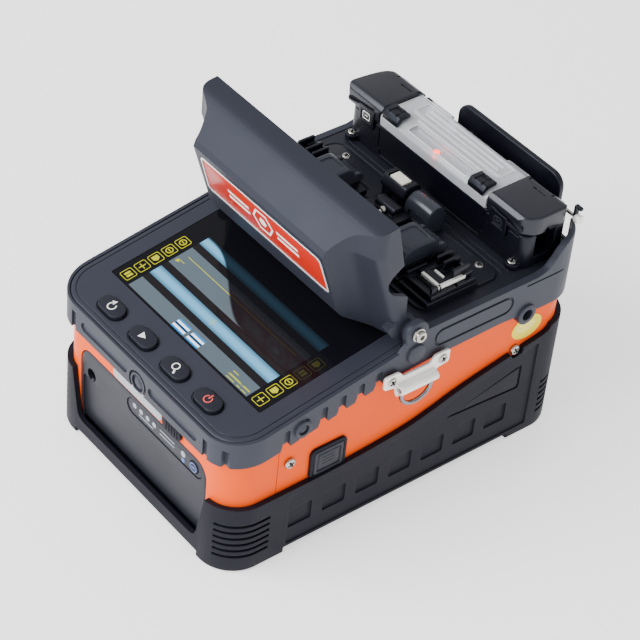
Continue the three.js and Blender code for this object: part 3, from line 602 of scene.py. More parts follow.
class SPLICER_OT_boot(bpy.types.Operator):
    """Rubber boot: swept rim, ribbed corners, square side recesses and corner feet"""
    bl_idname = "splicer.boot"
    bl_label = "Boot"

    def execute(self, context):
        wall = 2.6
        boot = prism(plan(BOOT_X, BOOT_Y, BOOT_Y, BOOT_CORNER, 16), 0, 66, bevel=1.0)
        inner = prism(plan(BOOT_X - wall, BOOT_Y - wall, BOOT_Y - wall, BOOT_CORNER - wall, 14), 6, 70)
        rim = smooth(BOOT_RIM, 5)
        above = prism([(-120, 38)] + rim + [(120, 63.4), (120, 90), (-120, 90)], -80, 80, "X")
        window = prism(filleted([(-46, 10.5), (46, 10.5), (52, 42), (52, 90), (-52, 90), (-52, 42)], 5, 5),
                       -110, -90, "Y")
        under = [block(-48, 48, -110, 110, -1, 3.5), block(-80, 80, -67, 67, -1, 3.5)]
        carve(boot, inner, above, window, *under)
        depth, groove = size(context, "recess_depth"), size(context, "groove_depth")
        field_x = 67.3  # the sides are sunk this far in, inside a raised border
        upper = [(y, z - 3.6) for y, z in rim if -66 <= y <= 78]
        field = filleted([(-66, 5), (78, 5), (78, 55.6)] + upper[::-1][1:-1] + [(-66, 34.4)], 1.0, 2)
        cutters = []
        for side, _ in SIDES:
            cutters.append(prism(field, side * field_x, side * 80, "X"))
            for step in range(7):
                end = 63.8 - 19.3 * step
                square = filleted([(end - 13, 14), (end, 14), (end, 25), (end - 13, 25)], 1.2, 3)
                cutters.append(prism(square, side * (field_x - depth), side * 80, "X"))
            wedge = filleted([(24, 34.2), (70, 31), (70, 46)], 2.2, 4)
            cutters.append(prism(wedge, side * (field_x - depth), side * 80, "X"))
            cutters.append(rod(3.8, side * 60, side * 75, 64.5, 56.4, "X"))
        carve(boot, *cutters)
        for side, _ in SIDES:
            wedge = filleted([(27.5, 35.0), (68.6, 32.4), (68.6, 44.4)], 1.8, 4)
            weld(boot, prism(wedge, side * 66, side * 67.2, "X", 0.3))
        grooves = []
        for step in range(6):
            z = 8.6 + 3.7 * step
            core = plan(BOOT_X - groove, BOOT_Y - groove, BOOT_Y - groove, BOOT_CORNER - groove, 16)
            ring = prism(plan(70, 103, 103, 20, 16), z, z + 1.7)
            grooves.append(carve(ring, prism(core, z - 1, z + 3)))
        for ring in grooves:  # only the corners keep their grooves
            carve(ring, block(-80, 80, -76, 84, 0, 60), block(-57, 57, -120, 120, 0, 60))
        carve(boot, *grooves)
        finish(boot, "boot_shell", "housing", "boot", ["boot"])
        return {"FINISHED"}


class SPLICER_OT_shell(bpy.types.Operator):
    """Coloured middle housing in two halves that meet at a seam"""
    bl_idname = "splicer.shell"
    bl_label = "Shell"

    def execute(self, context):
        button_hole = rounded(-52.9, -35.9, 38.7, 52.9, 1.5)
        for name, y0, y1 in (("housing_front", -120, -72.15), ("housing_rear", -71.85, 120)):
            shell = prism(shell_outline(), 6.3, 94.4)
            under = [(-110, panel_z(-110) - 5.4), (-2.2, panel_z(-2.2) - 5.4), (-2.2, 94.4),
                     (110, 94.4), (110, 120), (-110, 120)]
            battery_hole, port_hole = rounded(-48.5, 48.5, 0, 53.1, 8), rounded(18, 28.8, 54.9, 59.5, 1)
            carve(shell, prism(shell_outline(-2.5), 0, 120), prism(under, -80, 80, "X"),
                  prism(battery_hole, -110, -90, "Y"), prism(port_hole, -110, -90, "Y"),
                  prism(button_hole, 55, 80, "X"))
            keep(shell, block(-90, 90, y0, y1, -10, 130))
            finish(shell, name + "_moulding", "housing", "orange", [name])
        seal = prism([(70.5 + 9.2 * a, 67.2 + 6.6 * b) for a, b in circle(0, 0, 1, 40)], 65.1, 65.4, "X")
        patch = prism([(69.4 + 6.2 * a, 68.2 + 3.4 * b) for a, b in circle(0, 0, 1, 30)], 65.2, 65.5, "X")
        finish(merge(paint(seal, "sticker"), paint(patch, "sticker_pale")), "seal_sticker", "housing")
        surround = prism(rounded(-54.6, -34.2, 37.2, 54.4, 3), 65.0, 66.6, "X", 0.5)
        carve(surround, prism(button_hole, 60, 70, "X"))
        finish(surround, "release_frame", "housing", "boot")
        return {"FINISHED"}


class SPLICER_OT_battery(bpy.types.Operator):
    """Battery pack with its lamp strip, power jack and push button"""
    bl_idname = "splicer.battery"
    bl_label = "Battery"

    def execute(self, context):
        jack, button_at = (-40, 40.2), (38.8, 46)
        face = prism(rounded(-48.2, 48.2, 2, 52.8, 7.5), -97.5, -83.5, "Y", 0.8)
        taper = [(-45.6, 11), (45.6, 11), (48.2, 24.5), (48.2, 60), (-48.2, 60), (-48.2, 24.5)]
        keep(face, prism(taper, -110, -50, "Y"))
        pack = [(-43, 11.2), (43, 11.2), (45.3, 13.4), (45.3, 50.8), (-45.3, 50.8), (-45.3, 13.4)]
        weld(face, prism(pack, -84.5, -25, "Y"))
        sunk = [(-45, 9), (45, 9), (46.6, 24.5), (46.6, 37), (-46.6, 37), (-46.6, 24.5)]
        carve(face, prism(filleted(sunk, 2), -110, -96.3, "Y"),
              prism(rounded(-12, 45, 41.5, 50.5, 4.4), -100, -95.9, "Y"),
              rod(3.3, -100, -85.5, *jack, "Y"), rod(3.3, -100, -92, *button_at, "Y"))
        finish(face, "battery_case", "battery", "battery", ["battery_pack"])
        # the jack's sleeve and pin are drawn in the near-black recess finish: painted shade in the hole
        contact = weld(rod(0.9, -92.4, -85.4, *jack, "Y", 0.2), rod(3.28, -88.2, -85.2, *jack, "Y"))
        finish(contact, "jack_contact", "battery", "hole")
        strip = prism(rounded(-11.7, 44.7, 41.8, 50.2, 4.1), -97.2, -96.2, "Y", 0.2)
        paint(carve(strip, rod(3.3, -100, -90, *button_at, "Y")), "key")
        marks = [paint(rod(1.35, -97.3, -97, x, 47.2, "Y"), "grey_ink") for x in (-6.4, -1.4, 3.6, 8.6)]
        marks += [paint(block(x, x + 11, -97.28, -97, z, z + 0.5), "grey_ink")
                  for x, z in ((-3, 44.2), (13, 47.6), (13, 45.4))]
        marks += [paint(rod(1.6, -97.3, -97, 30.6, 47.2, "Y"), "grey_ink"),
                  paint(rod(1.2, -97.3, -97, 30.8, 43.6, "Y"), "blue_ink")]
        finish(merge(strip, *marks), "lamp_strip_lens", "battery", None, ["lamp_strip"])
        button = paint(rod(3, -97.7, -93.9, *button_at, "Y", 0.35), "key")
        ring = carve(rod(2.5, -97.78, -97.6, *button_at, "Y"), rod(2.0, -98, -97, *button_at, "Y"))
        bar = block(37.6, 40, -97.78, -97.6, 45.6, 46.4)
        button = merge(button, paint(ring, "blue_ink"), paint(bar, "blue_ink"))
        finish(button, "charge_button_cap", "charge_button", None, ["charge_button"])
        return {"FINISHED"}


class SPLICER_OT_front_trim(bpy.types.Operator):
    """Status strip, port cover with its knurled grip, base plate and boards"""
    bl_idname = "splicer.front_trim"
    bl_label = "Front trim"

    def execute(self, context):
        strip = prism(rounded(-22, 15.6, 54.8, 60.4, 2.7), -98.7, -97.9, "Y", 0.3)
        finish(strip, "status_strip_lens", "housing", "grey", ["status_strip"])
        cover = prism(rounded(16.4, 30.2, 53.7, 60.7, 3.4), -99.1, -97.9, "Y", 0.3)
        ribs = [block(x, x + 0.8, -99.5, -98.6, 54.8, 59.6, 0.2) for x in (19.2, 21.2, 23.2, 25.2, 27.2)]
        weld(cover, *ribs)
        finish(cover, "port_cover_flap", "port_cover", "boot", ["port_cover"])
        for node, look in (("base_plate", "black"), ("mainboard", "board"), ("key_board", "board"),
                           ("lcd_module", "steel")):
            paint(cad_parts[node], look)
        return {"FINISHED"}


# ------------------------------------------------------------------ bumper and panel
def bumper_lower(y):
    """Height of the bumper's lower edge."""
    run = [(-101, 62.9), (-73, 67.6), (-53, 71.9), (-34, 76.0), (-20, 79.0), (2, 81.0), (49, 81.9),
           (110, 80.6)]
    for (a, za), (b, zb) in zip(run, run[1:]):
        if y <= b:
            return za + (zb - za) * (y - a) / (b - a)
    return run[-1][1]


class SPLICER_OT_bumper(bpy.types.Operator):
    """Soft band around the top: notched lower edge, upright grooves, bosses and rear posts"""
    bl_idname = "splicer.bumper"
    bl_label = "Bumper"

    def execute(self, context):
        ring = prism(plan(BAND_X, 101, 99.4, 19, 16), 55, 114, bevel=1.2)
        carve(ring, prism(shell_outline(0.3), 50, 130))
        lower = [(-110, 61.5)]
        for y in GROOVES:
            low = bumper_lower(y)
            lower += [(y - 2.7, bumper_lower(y - 2.7)), (y - 2.0, low + 1.8), (y + 2.0, low + 2.2),
                      (y + 2.7, bumper_lower(y + 2.7))]
        lower += [(2, 81), (49, 81.9), (73, 80.2), (110, 80.2)]
        upper = smooth([(90, 114), (85.5, 113.2), (81, 109.6), (77.6, 105), (74, 101.6), (68, 100)], 4)
        top = [(110, 114)] + upper + [(-4, 100), (-12, panel_z(-12) - 0.1), (-110, panel_z(-110) - 0.1)]
        keep(ring, prism(lower + top, -80, 80, "X"))
        rebate = moved(prism(plan(67.3, 101.4, 60, 17.3, 14), -3.5, 30), PANEL)
        keep(rebate, block(-90, 90, -130, -7.4, 0, 130))
        rear_gap = filleted([(-57, 100), (57, 100), (57, 130), (-57, 130)], 4)
        carve(ring, rebate, prism(rear_gap, 78, 120, "Y"))
        deep = size(context, "groove_depth")
        cutters = []
        for side, _ in SIDES:
            for y in GROOVES:
                low, high = bumper_lower(y) - 4, panel_z(y) - 4
                channel = filleted([(y - 1.9, low), (y + 1.9, low), (y + 1.9, high), (y - 1.9, high)], 1.2)
                cutters.append(prism(channel, side * (BAND_X - deep), side * 80, "X"))
            slot = prism(rounded(8, 55, 86.5, 96.5, 4.9), side * (BAND_X - 0.8), side * 80, "X")
            island = prism(rounded(9.4, 53.6, 87.9, 95.1, 3.5), side * 60, side * 90, "X")
            cutters.append(carve(slot, island))
            rear_line = rounded(62, 95, 97.2, 98.2, 0.5, 2)
            cutters.append(prism(rear_line, side * (BAND_X - 0.6), side * 80, "X"))
            for x in (side * 50, side * 60.5):
                cutters.append(block(x - 1.6, x + 1.6, -110, -101 + deep + (abs(x) > 55) * 3.2, 50, 73))
            span = (8, 44) if side > 0 else (-44, -8)
            cutters.append(prism(rounded(*span, 66.6, 71.6, 2.4), -110, -100.2, "Y"))
        carve(ring, *cutters)
        for side, _ in SIDES:
            inside, proud = side * 65.4, side * 70.2
            front, middle, rear = (-63.5, 75.4), (-2.2, 88.9), (64.2, 80.6)  # round bosses
            weld(ring, rod(4.6, inside, proud, *front, "X", 0.5), rod(5, inside, proud, *middle, "X", 0.6),
                 rod(5.4, inside, proud, *rear, "X", 0.5),
                 rod(6.4, inside, side * 69, PIVOT_Y, PIVOT_Z, "X", 0.5))
            carve(ring, rod(2.7, side * 69.0, side * 75, *front, "X"),
                  rod(3.0, side * 66.4, side * 75, *rear, "X"),
                  rod(1.9, side * 60, side * 75, PIVOT_Y, PIVOT_Z, "X"))
            dome = [(0, 0), (2.5, 0), (2.2, 0.7), (1.2, 1.1), (0, 1.2)]
            weld(ring, turned(dome, (side * 68.6, *front), (side, 0, 0), 24))
        nose = (0, 67.5)  # the boss in the middle of the front
        weld(ring, rod(5.4, -100.6, -97.9, *nose, "Y"))
        carve(ring, carve(rod(6.4, -110, -99.6, *nose, "Y"), rod(5.2, -111, -98, *nose, "Y")),
              rod(4.2, -110, -99.8, *nose, "Y"))
        dome = [(0, -1), (3.8, -1), (3.6, 0.4), (2.4, 1.2), (0, 1.5)]
        weld(ring, turned(dome, (0, -99.5, nose[1]), (0, -1, 0), 32))
        finish(ring, "bumper_band", "housing", "bumper", ["bumper"])
        return {"FINISHED"}


KEY_XS = (-36.3, -12.1, 12.1, 36.3)
KEY_TOP = 1.77  # the keys stand this high over the panel


def key_outline(x, grow=0.0):
    """A key's long round outline, on the tilted panel."""
    return rounded(x - 7.8 - grow, x + 7.8 + grow, -95.4 - grow, -86.8 + grow, 4.29 + grow, 10)


def panel_front(r, half_x, back):
    """The panel's outline: round front corners of radius r, straight sides back to y = back."""
    return (arc(-50, -84.1, r, 180, 270, 14) + arc(50, -84.1, r, 270, 360, 14)
            + [(half_x, back), (-half_x, back)])


class SPLICER_OT_bezel(bpy.types.Operator):
    """Tilted bezel around the screen and the four keys"""
    bl_idname = "splicer.bezel"
    bl_label = "Bezel"

    def execute(self, context):
        plate = prism(panel_front(17, 67, -3.3), -3.2, 0, bevel=0.9)
        window = prism(rounded(-55.9, 55.9, -78.3, -7.0, 0.8, 3), -9, 9)
        trims = [block(-90, -65.1, -8.5, 0, -9, 9), block(65.1, 90, -8.5, 0, -9, 9)]
        holes = [prism(key_outline(x, 0.35), -9, 9) for x in KEY_XS]
        dishes = [prism(key_outline(x, 1.0), -0.45, 9) for x in KEY_XS]
        line = prism(panel_front(14.6, 64.6, 10), -0.4, 9)
        carve(line, prism(panel_front(13.9, 63.9, 12), -1, 10))
        carve(plate, window, *trims, *dishes, *holes, line)
        finish(moved(plate, PANEL), "bezel_moulding", "housing", "panel", ["bezel"])
        return {"FINISHED"}


def printed(outline):
    """A symbol's flat shape, printed on top of a key."""
    return prism(outline, KEY_TOP, KEY_TOP + 0.06)


def printed_ring(x, y, r, width, start=0, end=360):
    """A printed ring, or part of one."""
    if end - start >= 360:
        return carve(printed(circle(x, y, r, 40)),
                     prism(circle(x, y, r - width, 40), KEY_TOP - 1, KEY_TOP + 1))
    steps = max(8, int(abs(end - start) / 10))
    return printed(arc(x, y, r, start, end, steps) + arc(x, y, r - width, end, start, steps))


class SPLICER_OT_keys(bpy.types.Operator):
    """Four satin keys with generic restart, run, magnify and power symbols"""
    bl_idname = "splicer.keys"
    bl_label = "Keys"

    def execute(self, context):
        y = -91.1  # the middle of the row
        symbols = {
            "key_reset": [printed_ring(-36.3, y, 2.3, 0.58, 110, 410),
                          printed([(-36.5, y + 0.8), (-36.5, y + 3.5), (-38.7, y + 2.1)])],
            "key_play": [printed([(-13.8, y - 1.9), (-13.8, y + 1.9), (-10.2, y)])],
            "key_zoom": [printed_ring(12.0, y + 0.6, 2.0, 0.55),
                         printed([(13.0, y - 1.5), (13.7, y - 0.9), (14.8, y - 2.5), (14.1, y - 3.1)])],
            "key_power": [printed_ring(36.3, y, 2.2, 0.55, 120, 420),
                          printed(rect(35.95, 36.65, y + 0.3, y + 3.0))],
        }
        for (name, shapes), x in zip(symbols.items(), KEY_XS):
            key = paint(prism(key_outline(x), -3.8, KEY_TOP + 0.01, bevel=0.9, segments=4), "key")
            colour = "red_ink" if name == "key_power" else "white"
            key = merge(key, *[paint(shape, colour) for shape in shapes])
            finish(moved(key, PANEL), name + "_cap", name, None, [name])
        return {"FINISHED"}


def flat(outline, level, look):
    """A lit shape on the screen, at a hair's breadth per level."""
    return paint(prism(outline, -0.3, -0.2 + 0.03 * level), look)


def screen_icons(x, rows, look, kinds):
    """A column of outlined square icons with plain shapes inside."""
    parts = []
    for y, kind in zip(rows, kinds):
        outer = paint(prism(rounded(x - 3.1, x + 3.1, y - 3.1, y + 3.1, 1), -0.3, -0.1), look)
        parts.append(carve(outer, prism(rounded(x - 2.82, x + 2.82, y - 2.82, y + 2.82, 0.8), -1, 1)))
        if kind == "bars":
            parts += [flat(rect(x - 1.5, x - 0.3, y - 1.6, y + 1.6), 3, look),
                      flat(rect(x + 0.3, x + 1.5, y - 1.6, y + 1.6), 3, look)]
        elif kind == "ring":
            disc, middle = flat(circle(x, y, 1.9, 24), 3, look), prism(circle(x, y, 1.4, 24), -1, 1)
            parts.append(carve(disc, middle))
            parts.append(flat(rect(x - 0.9, x + 0.9, y - 0.25, y + 0.25), 3, look))
        elif kind == "cross":
            parts += [flat(rect(x - 1.9, x + 1.9, y - 0.22, y + 0.22), 3, look),
                      flat(rect(x - 0.22, x + 0.22, y - 1.9, y + 1.9), 4, look)]
        elif kind == "flag":
            parts.append(flat([(x - 1.7, y - 1.7), (x + 0.6, y - 1.7), (x + 1.8, y), (x + 0.6, y + 1.7),
                               (x - 1.7, y + 1.7)], 3, look))
        else:
            parts.append(flat([(x - 1.7, y - 1.5), (x + 1.7, y - 1.5), (x, y + 1.7)], 3, look))
    return parts


class SPLICER_OT_screen(bpy.types.Operator):
    """Screen: glass, fibre picture, icon columns, thin read-out lines"""
    bl_idname = "splicer.screen"
    bl_label = "Screen"

    def execute(self, context):
        parts = [paint(prism(rect(-55.6, 55.6, -78, -7.3), -1.4, -0.2), "glass_black")]
        picture = (-44, 44.5)
        for y0, y1, level, look in ((-77, -41.5, 1, "sky"), (-69.3, -54.9, 2, "dark_band"),
                                    (-41.5, -28.5, 2, "dark_band"), (-65.4, -58.8, 3, "fibre_a"),
                                    (-37.6, -31.6, 3, "fibre_b")):
            parts.append(flat(rect(*picture, y0, y1), level, look))
        lines = [(rect(-40, 40, -46.6, -46.3), 3), (rect(-42, -38, -50.5, -50.2), 3),
                 ([(-42.5, -52.4), (-40.2, -51.4), (-42.5, -50.4)], 3),
                 (rect(-2.2, 2.2, -62.2, -62.0), 5), (rect(-0.1, 0.1, -64.4, -59.8), 5)]
        for x, length, row in ((29, 5.5, 0), (29, 8, 1), (36.4, 2.2, 0), (39.6, 3.4, 0), (38.8, 4.6, 1),
                               (29, 3.6, 2)):
            lines.append((rect(x, x + length, -76.4 + 2 * row, -76.0 + 2 * row), 3))
        lines.append((rect(28.4, 43.4, -74.7, -74.5), 4))
        parts += [flat(outline, level, "yellow") for outline, level in lines]
        for x in (-11.4, -0.8):  # the two fibre ends of the picture's key
            end = x + 8.6
            parts.append(flat(rect(x, end, -77, -71.4), 2, "ui_blue"))
            parts += [flat(rect(x, end, y, y + 1.15), 3, "ui_white") for y in (-76.1, -73.6)]
            parts.append(flat(rect(x, end, -74.6, -73.9), 3, "dark_band"))
        rows = (-73.2, -65.6, -58.0, -50.4, -42.8)
        parts += screen_icons(-49.4, rows, "yellow", ("bars", "cross", "flag", "ring", "ring"))
        parts += screen_icons(49.8, rows, "yellow", ("cross", "flag", "ring", "bars", "flag"))
        finish(moved(merge(*parts), PANEL), "screen_picture", "housing", None,
               ["screen_glass"])
        return {"FINISHED"}


# ------------------------------------------------------------------ splicing deck
class SPLICER_OT_deck(bpy.types.Operator):
    """Deck with its inset plate, raised ribs and screws"""
    bl_idname = "splicer.deck"
    bl_label = "Deck"

    def execute(self, context):
        deck = prism(shell_outline(), 95, 99.7)
        carve(deck, block(-90, 90, -120, -2.6, 80, 130), prism(rounded(-58.8, 58.8, 7.7, 55.3, 6), 97, 130),
              block(59, 70, -5, 4, 90, 130), block(-70, -59, -5, 4, 90, 130))
        carve(deck, prism(rounded(-60.6, 60.6, 5.9, 57.1, 7), 99.3, 130),
              block(-58, 58, 59.4, 60.2, 99.1, 130))
        finish(deck, "deck_moulding", "housing", "deck", ["deck"])
        plate = prism(rounded(-58.5, 58.5, 8, 55, 5.7), 97.3, 100.6, bevel=0.4)
        carve(plate, block(-17.6, 17.6, 9.5, 40.5, 99.8, 120), block(-41, -22, 42.6, 44, 100, 120),
              block(24, 41, 42.6, 44, 100, 120),
              prism(filleted([(24, 46.5), (42, 46.5), (42, 53), (24, 53)], 2), 100.2, 120))
        finish(plate, "splice_plate_moulding", "housing", "deck", ["splice_plate"])
        spots = ((47.9, 51), (-47.9, 51), (49.5, 5.0), (-49.5, 5.0))
        heads = [screw((x, y, 100.2), (0, 0, 1), 2.2, 1.0) for x, y in spots]
        finish(merge(*heads), "deck_screws", "housing")
        return {"FINISHED"}


def fibre_groove(z, depth):
    """A V-shaped cutter along the fibre's line, whose top edge is at z."""
    return prism([(FIBRE_Y, z - depth), (FIBRE_Y + depth, z + 1), (FIBRE_Y - depth, z + 1)], -80, 80, "X")


class SPLICER_OT_stages(bpy.types.Operator):
    """Sliding stages with clamp lids, fibre holders and their steel plates"""
    bl_idname = "splicer.stages"
    bl_label = "Stages"

    def execute(self, context):
        rib = filleted([(35.2, 103), (39.8, 103), (39.8, 110.4), (38.4, 111.6), (36.6, 111.6),
                        (35.2, 110.4)], 0.6)
        top = filleted([(13.5, 108), (13.5, 114.5), (16.5, 117), (31, 117), (34.3, 114.5),
                        (34.3, 108)], 1.6)
        cheek = filleted([(30, 108), (30, 113), (38, 112.4), (40, 109.6), (38.6, 107.6)], 1.0)
        hub = filleted([(34.6, 107), (38, 107), (38, 110.2), (36.8, 111.3), (35.6, 111.3),
                        (34.6, 110.2)], 0.5)
        clamp_pin, holder_pin = (37.5, 109.6), (36.2, 109.4)
        for side, name in SIDES:
            body = "stage_" + name
            stage = brick(side, 19, 59.5, 10, 40, 101, 104, 0.5)
            weld(stage, brick(side, 22, 38, 15, 34, 103, 107.6, 0.4), across(side, rib, 24.3, 35.7, 0.3))
            carve(stage, fibre_groove(107.6, 1.6), pin(side, 1.25, 10, 60, clamp_pin),
                  brick(side, 39, 40, 9, 41, 102.4, 120))
            finish(stage, body + "_carriage", body, "black", ["stage_" + name])
            clamp = across(side, top, 22, 38, 0.8)
            weld(clamp, across(side, cheek, 22, 24, 0.3), across(side, cheek, 36, 38, 0.3),
                 pin(side, 1.1, 22.5, 37.5, clamp_pin))
            x0, x1 = sorted((side * 25, side * 35))
            carve(clamp, prism(rounded(x0, x1, 17.5, 30, 2), 116.5, 120),
                  brick(side, 20, 40, 12, 14.6, 109.4, 110.4))
            finish(clamp, "clamp_lid_%s_shell" % name, "clamp_lid_" + name, "panel",
                   ["clamp_lid_" + name])
            holder = brick(side, 41, 59.5, 12, 38, 104.3, 107.4, 0.4)
            weld(holder, across(side, hub, 47.2, 53.8, 0.3), brick(side, 41, 42.6, 12.5, 24, 107, 109.6, 0.3),
                 brick(side, 57.1, 58.5, 13, 16.4, 107, 110.6, 0.3))
            carve(holder, fibre_groove(107.4, 1.4), pin(side, 1.05, 40, 60, holder_pin),
                  brick(side, 44, 57, 13.5, 16.5, 106.4, 120))
            finish(holder, "holder_%s_block" % name, body, "black", ["holder_" + name])
            plate = brick(side, 43, 57.6, 18, 33, 107.8, 109.2, 0.3)
            weld(plate, brick(side, 43, 46.9, 32, 37.4, 107.8, 110.4, 0.3),
                 brick(side, 54.1, 57.6, 32, 37.4, 107.8, 110.4, 0.3),
                 pin(side, 0.9, 43.5, 57.5, holder_pin))
            carve(plate, brick(side, 46, 55, 22, 30, 108.8, 120))
            edges = [brick(side, 56.2, 57.9, 17.8, 33.2, 107.7, 109.5, 0.2),
                     brick(side, 45.5, 57.9, 17.6, 19.2, 107.7, 109.5, 0.2),
                     brick(side, 47.5, 53.5, 23.4, 24.6, 108.6, 109.6, 0.2)]
            fins = [brick(side, x, x + 1.5, 27, 36.4, 108, 113.6, 0.3) for x in (44.2, 48.6, 54.9)]
            plate = merge(paint(plate, "black"), *[paint(edge, "bracket") for edge in edges],
                          *[paint(fin, "black") for fin in fins])
            finish(plate, "holder_lid_%s_plate" % name, "holder_lid_" + name, None,
                   ["holder_lid_" + name])
        return {"FINISHED"}


class SPLICER_OT_optics(bpy.types.Operator):
    """V-groove block, electrodes, lamp arm with its window, lens block"""
    bl_idname = "splicer.optics"
    bl_label = "Optics"

    def execute(self, context):
        vee = block(-11, 11, 13, 41, 101, 107.4, 0.4)
        carve(vee, fibre_groove(107.4, 1.5), block(-3.2, 3.2, 12, 42, 103, 120))
        clamps = []
        for y0, y1 in ((13.4, 20.6), (33.4, 40.6)):
            hood = filleted([(y0, 103), (y0, 109), (y0 + 1.6, 110.8), (y1 - 1.6, 110.8), (y1, 109),
                             (y1, 103)], 0.8)
            clamps.append(paint(prism(hood, -6.5, 6.5, "X", 0.4), "black"))
        vee = merge(paint(vee, "black"), *clamps)
        finish(vee, "v_groove_clamped_block", "housing", None, ["vgroove_block"])
        point = [(0, 0), (0.15, 0), (1.4, 3.4), (2.4, 3.8), (2.4, 11.5), (0, 11.5)]
        sleeve = [(0, 6), (2.39, 6), (2.39, 9), (0, 9)]
        for name, way in (("electrode_rear", 1), ("electrode_front", -1)):
            tip = (0, FIBRE_Y + way * 1.2, 107)
            needle, collar = (turned(outline, tip, (0, way, 0), 24) for outline in (point, sleeve))
            finish(merge(paint(needle, "steel"), paint(collar, "brass")), name + "_needle", "housing", None,
                   [name])
        bent = filleted([(43, 101), (43, 110), (41, 112), (44, 117), (51, 117), (54, 112), (54, 101)], 1.4)
        arm = carve(prism(bent, -13, 3, "X", 0.6), block(-10.5, 0.5, 43.8, 50, 115.5, 120),
                    rod(3.4, 40, 46, -5, 106.5, "Y"), block(-12, -10.8, 46, 52, 104, 113))
        finish(arm, "lamp_arm_housing", "housing", "black", ["lamp_arm"])
        eye = merge(paint(rod(3.0, 44.6, 46, -5, 106.5, "Y", 0.3), "gloss"),
                    paint(block(-8, -2, 43.4, 44.2, 102.2, 103, 0.1), "brass"))
        finish(eye, "lamp_eye", "housing")
        window = block(-9.4, -0.6, 44.1, 49.7, 115.8, 117, 0.25)
        finish(window, "lamp_window_pane", "housing", "lamp", ["lamp_window"])
        curve = smooth([(42.4, 109), (43.4, 112.4), (46, 114.8), (49, 115.2), (52, 114), (54, 110.6)], 4)
        lens = prism([(42.4, 101)] + curve + [(54.2, 101)], 4, 20, "X", 0.5)
        carve(lens, block(4, 20, 40, 43, 101, 103.5), prism(rounded(7, 17, 104.5, 109, 1), 40, 43.2, "Y"))
        finish(lens, "lens_block_shell", "housing", "lens", ["lens_block"])
        return {"FINISHED"}


# ------------------------------------------------------------------ wind cover
CREASE_Z, LEAN = 146.8, 0.328  # below the crease the flanks lean forward by this slope


def cover_plan(inset=0.0):
    """Outline of the cover seen from above, narrowing in an S towards the badge."""
    bend = smooth([(64, -18), (63.9, -22.5), (62.2, -26), (57.5, -28.2), (52.4, -30.8), (49.0, -35.0),
                   (46.8, -39.4), (45.6, -46)], 5)
    right = [(64 - inset, 20)] + [(x - inset, y) for x, y in bend]
    return right + [(-x, y) for x, y in reversed(right)]


def cover_flanks(inset=0.0):
    """Upright flanks above the crease; below it they lean with the badge's face."""
    low = prism(cover_plan(inset), 70, CREASE_Z)
    for vertex in low.data.vertices:
        vertex.co.y += LEAN * (CREASE_Z * MM - vertex.co.z)
    return weld(prism(cover_plan(inset), CREASE_Z - 0.001, 170), low)


# the cover's section, as (y, z): its outside, and the hollow within it
COVER_OUTER = (smooth([(-16.7, 161.7), (-22, 160.9), (-26.8, 159.2), (-33.8, 153.4), (-40.6, 147.0)], 4)
               + [(-41.9, 144.2), (-30.5, 109.5)]
               + smooth([(-30.3, 108.9), (-27, 105.2), (-21, 101.6), (-14, 98.2)], 4)
               + [(-8.6, 96.3), (-6.6, 96.5), (-6.3, 108), (-6.8, 119.6)]
               + smooth([(-7.4, 120.2), (-15.6, 124.4), (-18.4, 129.6), (-17.2, 134.2), (-11.2, 138.8)], 4))
COVER_INNER = [(10, 159.1), (-17.1, 159.1), (-26, 156.8), (-32.2, 151.6), (-38.6, 145.6), (-39.2, 143.7),
               (-31.2, 119.6), (-28.2, 110.7), (-25.4, 107.3), (-13.2, 100.8), (-5, 98.2), (10, 98.2)]


def badge_outline(inset):
    """The badge's outline on its own plane, a little narrower at the top."""
    return [(-44.2 + inset, -11.7 + inset), (44.2 - inset, -11.7 + inset), (43.4 - inset, 11.7 - inset),
            (-43.4 + inset, 11.7 - inset)]


class SPLICER_OT_cover(bpy.types.Operator):
    """Hinged wind cover, hollow, with hinge lugs and a pocket for the badge"""
    bl_idname = "splicer.cover"
    bl_label = "Wind cover"

    def execute(self, context):
        cover = keep(prism(COVER_OUTER, -64, 64, "X"), cover_flanks())
        hollow = keep(prism(COVER_INNER, -64, 64, "X"), cover_flanks(2.4))
        pocket = moved(prism(filleted(badge_outline(0), 3.4), -1.4, 5), BADGE)
        carve(cover, hollow, pocket)
        arm = [(-13, 99.2), (-6.2, 96.2), (-2.5, 97), (-2.5, 104.6), (-6.4, 109), (-16, 104)]
        for side, _ in SIDES:
            weld(cover, across(side, arm, 59.6, 64), pin(side, 5.4, 59.6, 65.1, (PIVOT_Y, PIVOT_Z), 0.4))
            carve(cover, pin(side, 1.9, 50, 70, (PIVOT_Y, PIVOT_Z)))
        finish(cover, "wind_cover_shell", "wind_cover", "cover", ["wind_cover"], 19)
        return {"FINISHED"}


class SPLICER_OT_badge(bpy.types.Operator):
    """Lacquered badge with a bright rim and a plain hexagon mark"""
    bl_idname = "splicer.badge"
    bl_label = "Badge"

    def execute(self, context):
        plate = moved(prism(filleted(badge_outline(1.6), 2.4), -1.1, -0.2, bevel=0.15), BADGE)
        finish(plate, "badge_lacquer", "wind_cover", "red", ["badge_plate"])
        trim = prism(filleted(badge_outline(0.3), 3.2), -1.1, 0, bevel=0.3)
        carve(trim, prism(filleted(badge_outline(1.3), 2.6), -5, 5))
        finish(moved(trim, BADGE), "badge_rim", "wind_cover", "rim", ["badge_trim"])
        ink_layer = (-0.25, -0.1)
        mark = [carve(prism(circle(0, 0.6, 7.4, 6), *ink_layer), prism(circle(0, 0.6, 6.2, 6), -2, 2)),
                prism(circle(0, 0.6, 2.6, 6), *ink_layer)]
        mark += [brick(side, 10, 25, v, v + 1.5, *ink_layer) for side, _ in SIDES for v in (-2.4, 1.2)]
        finish(moved(merge(*mark), BADGE), "badge_mark", "wind_cover", "white")
        return {"FINISHED"}


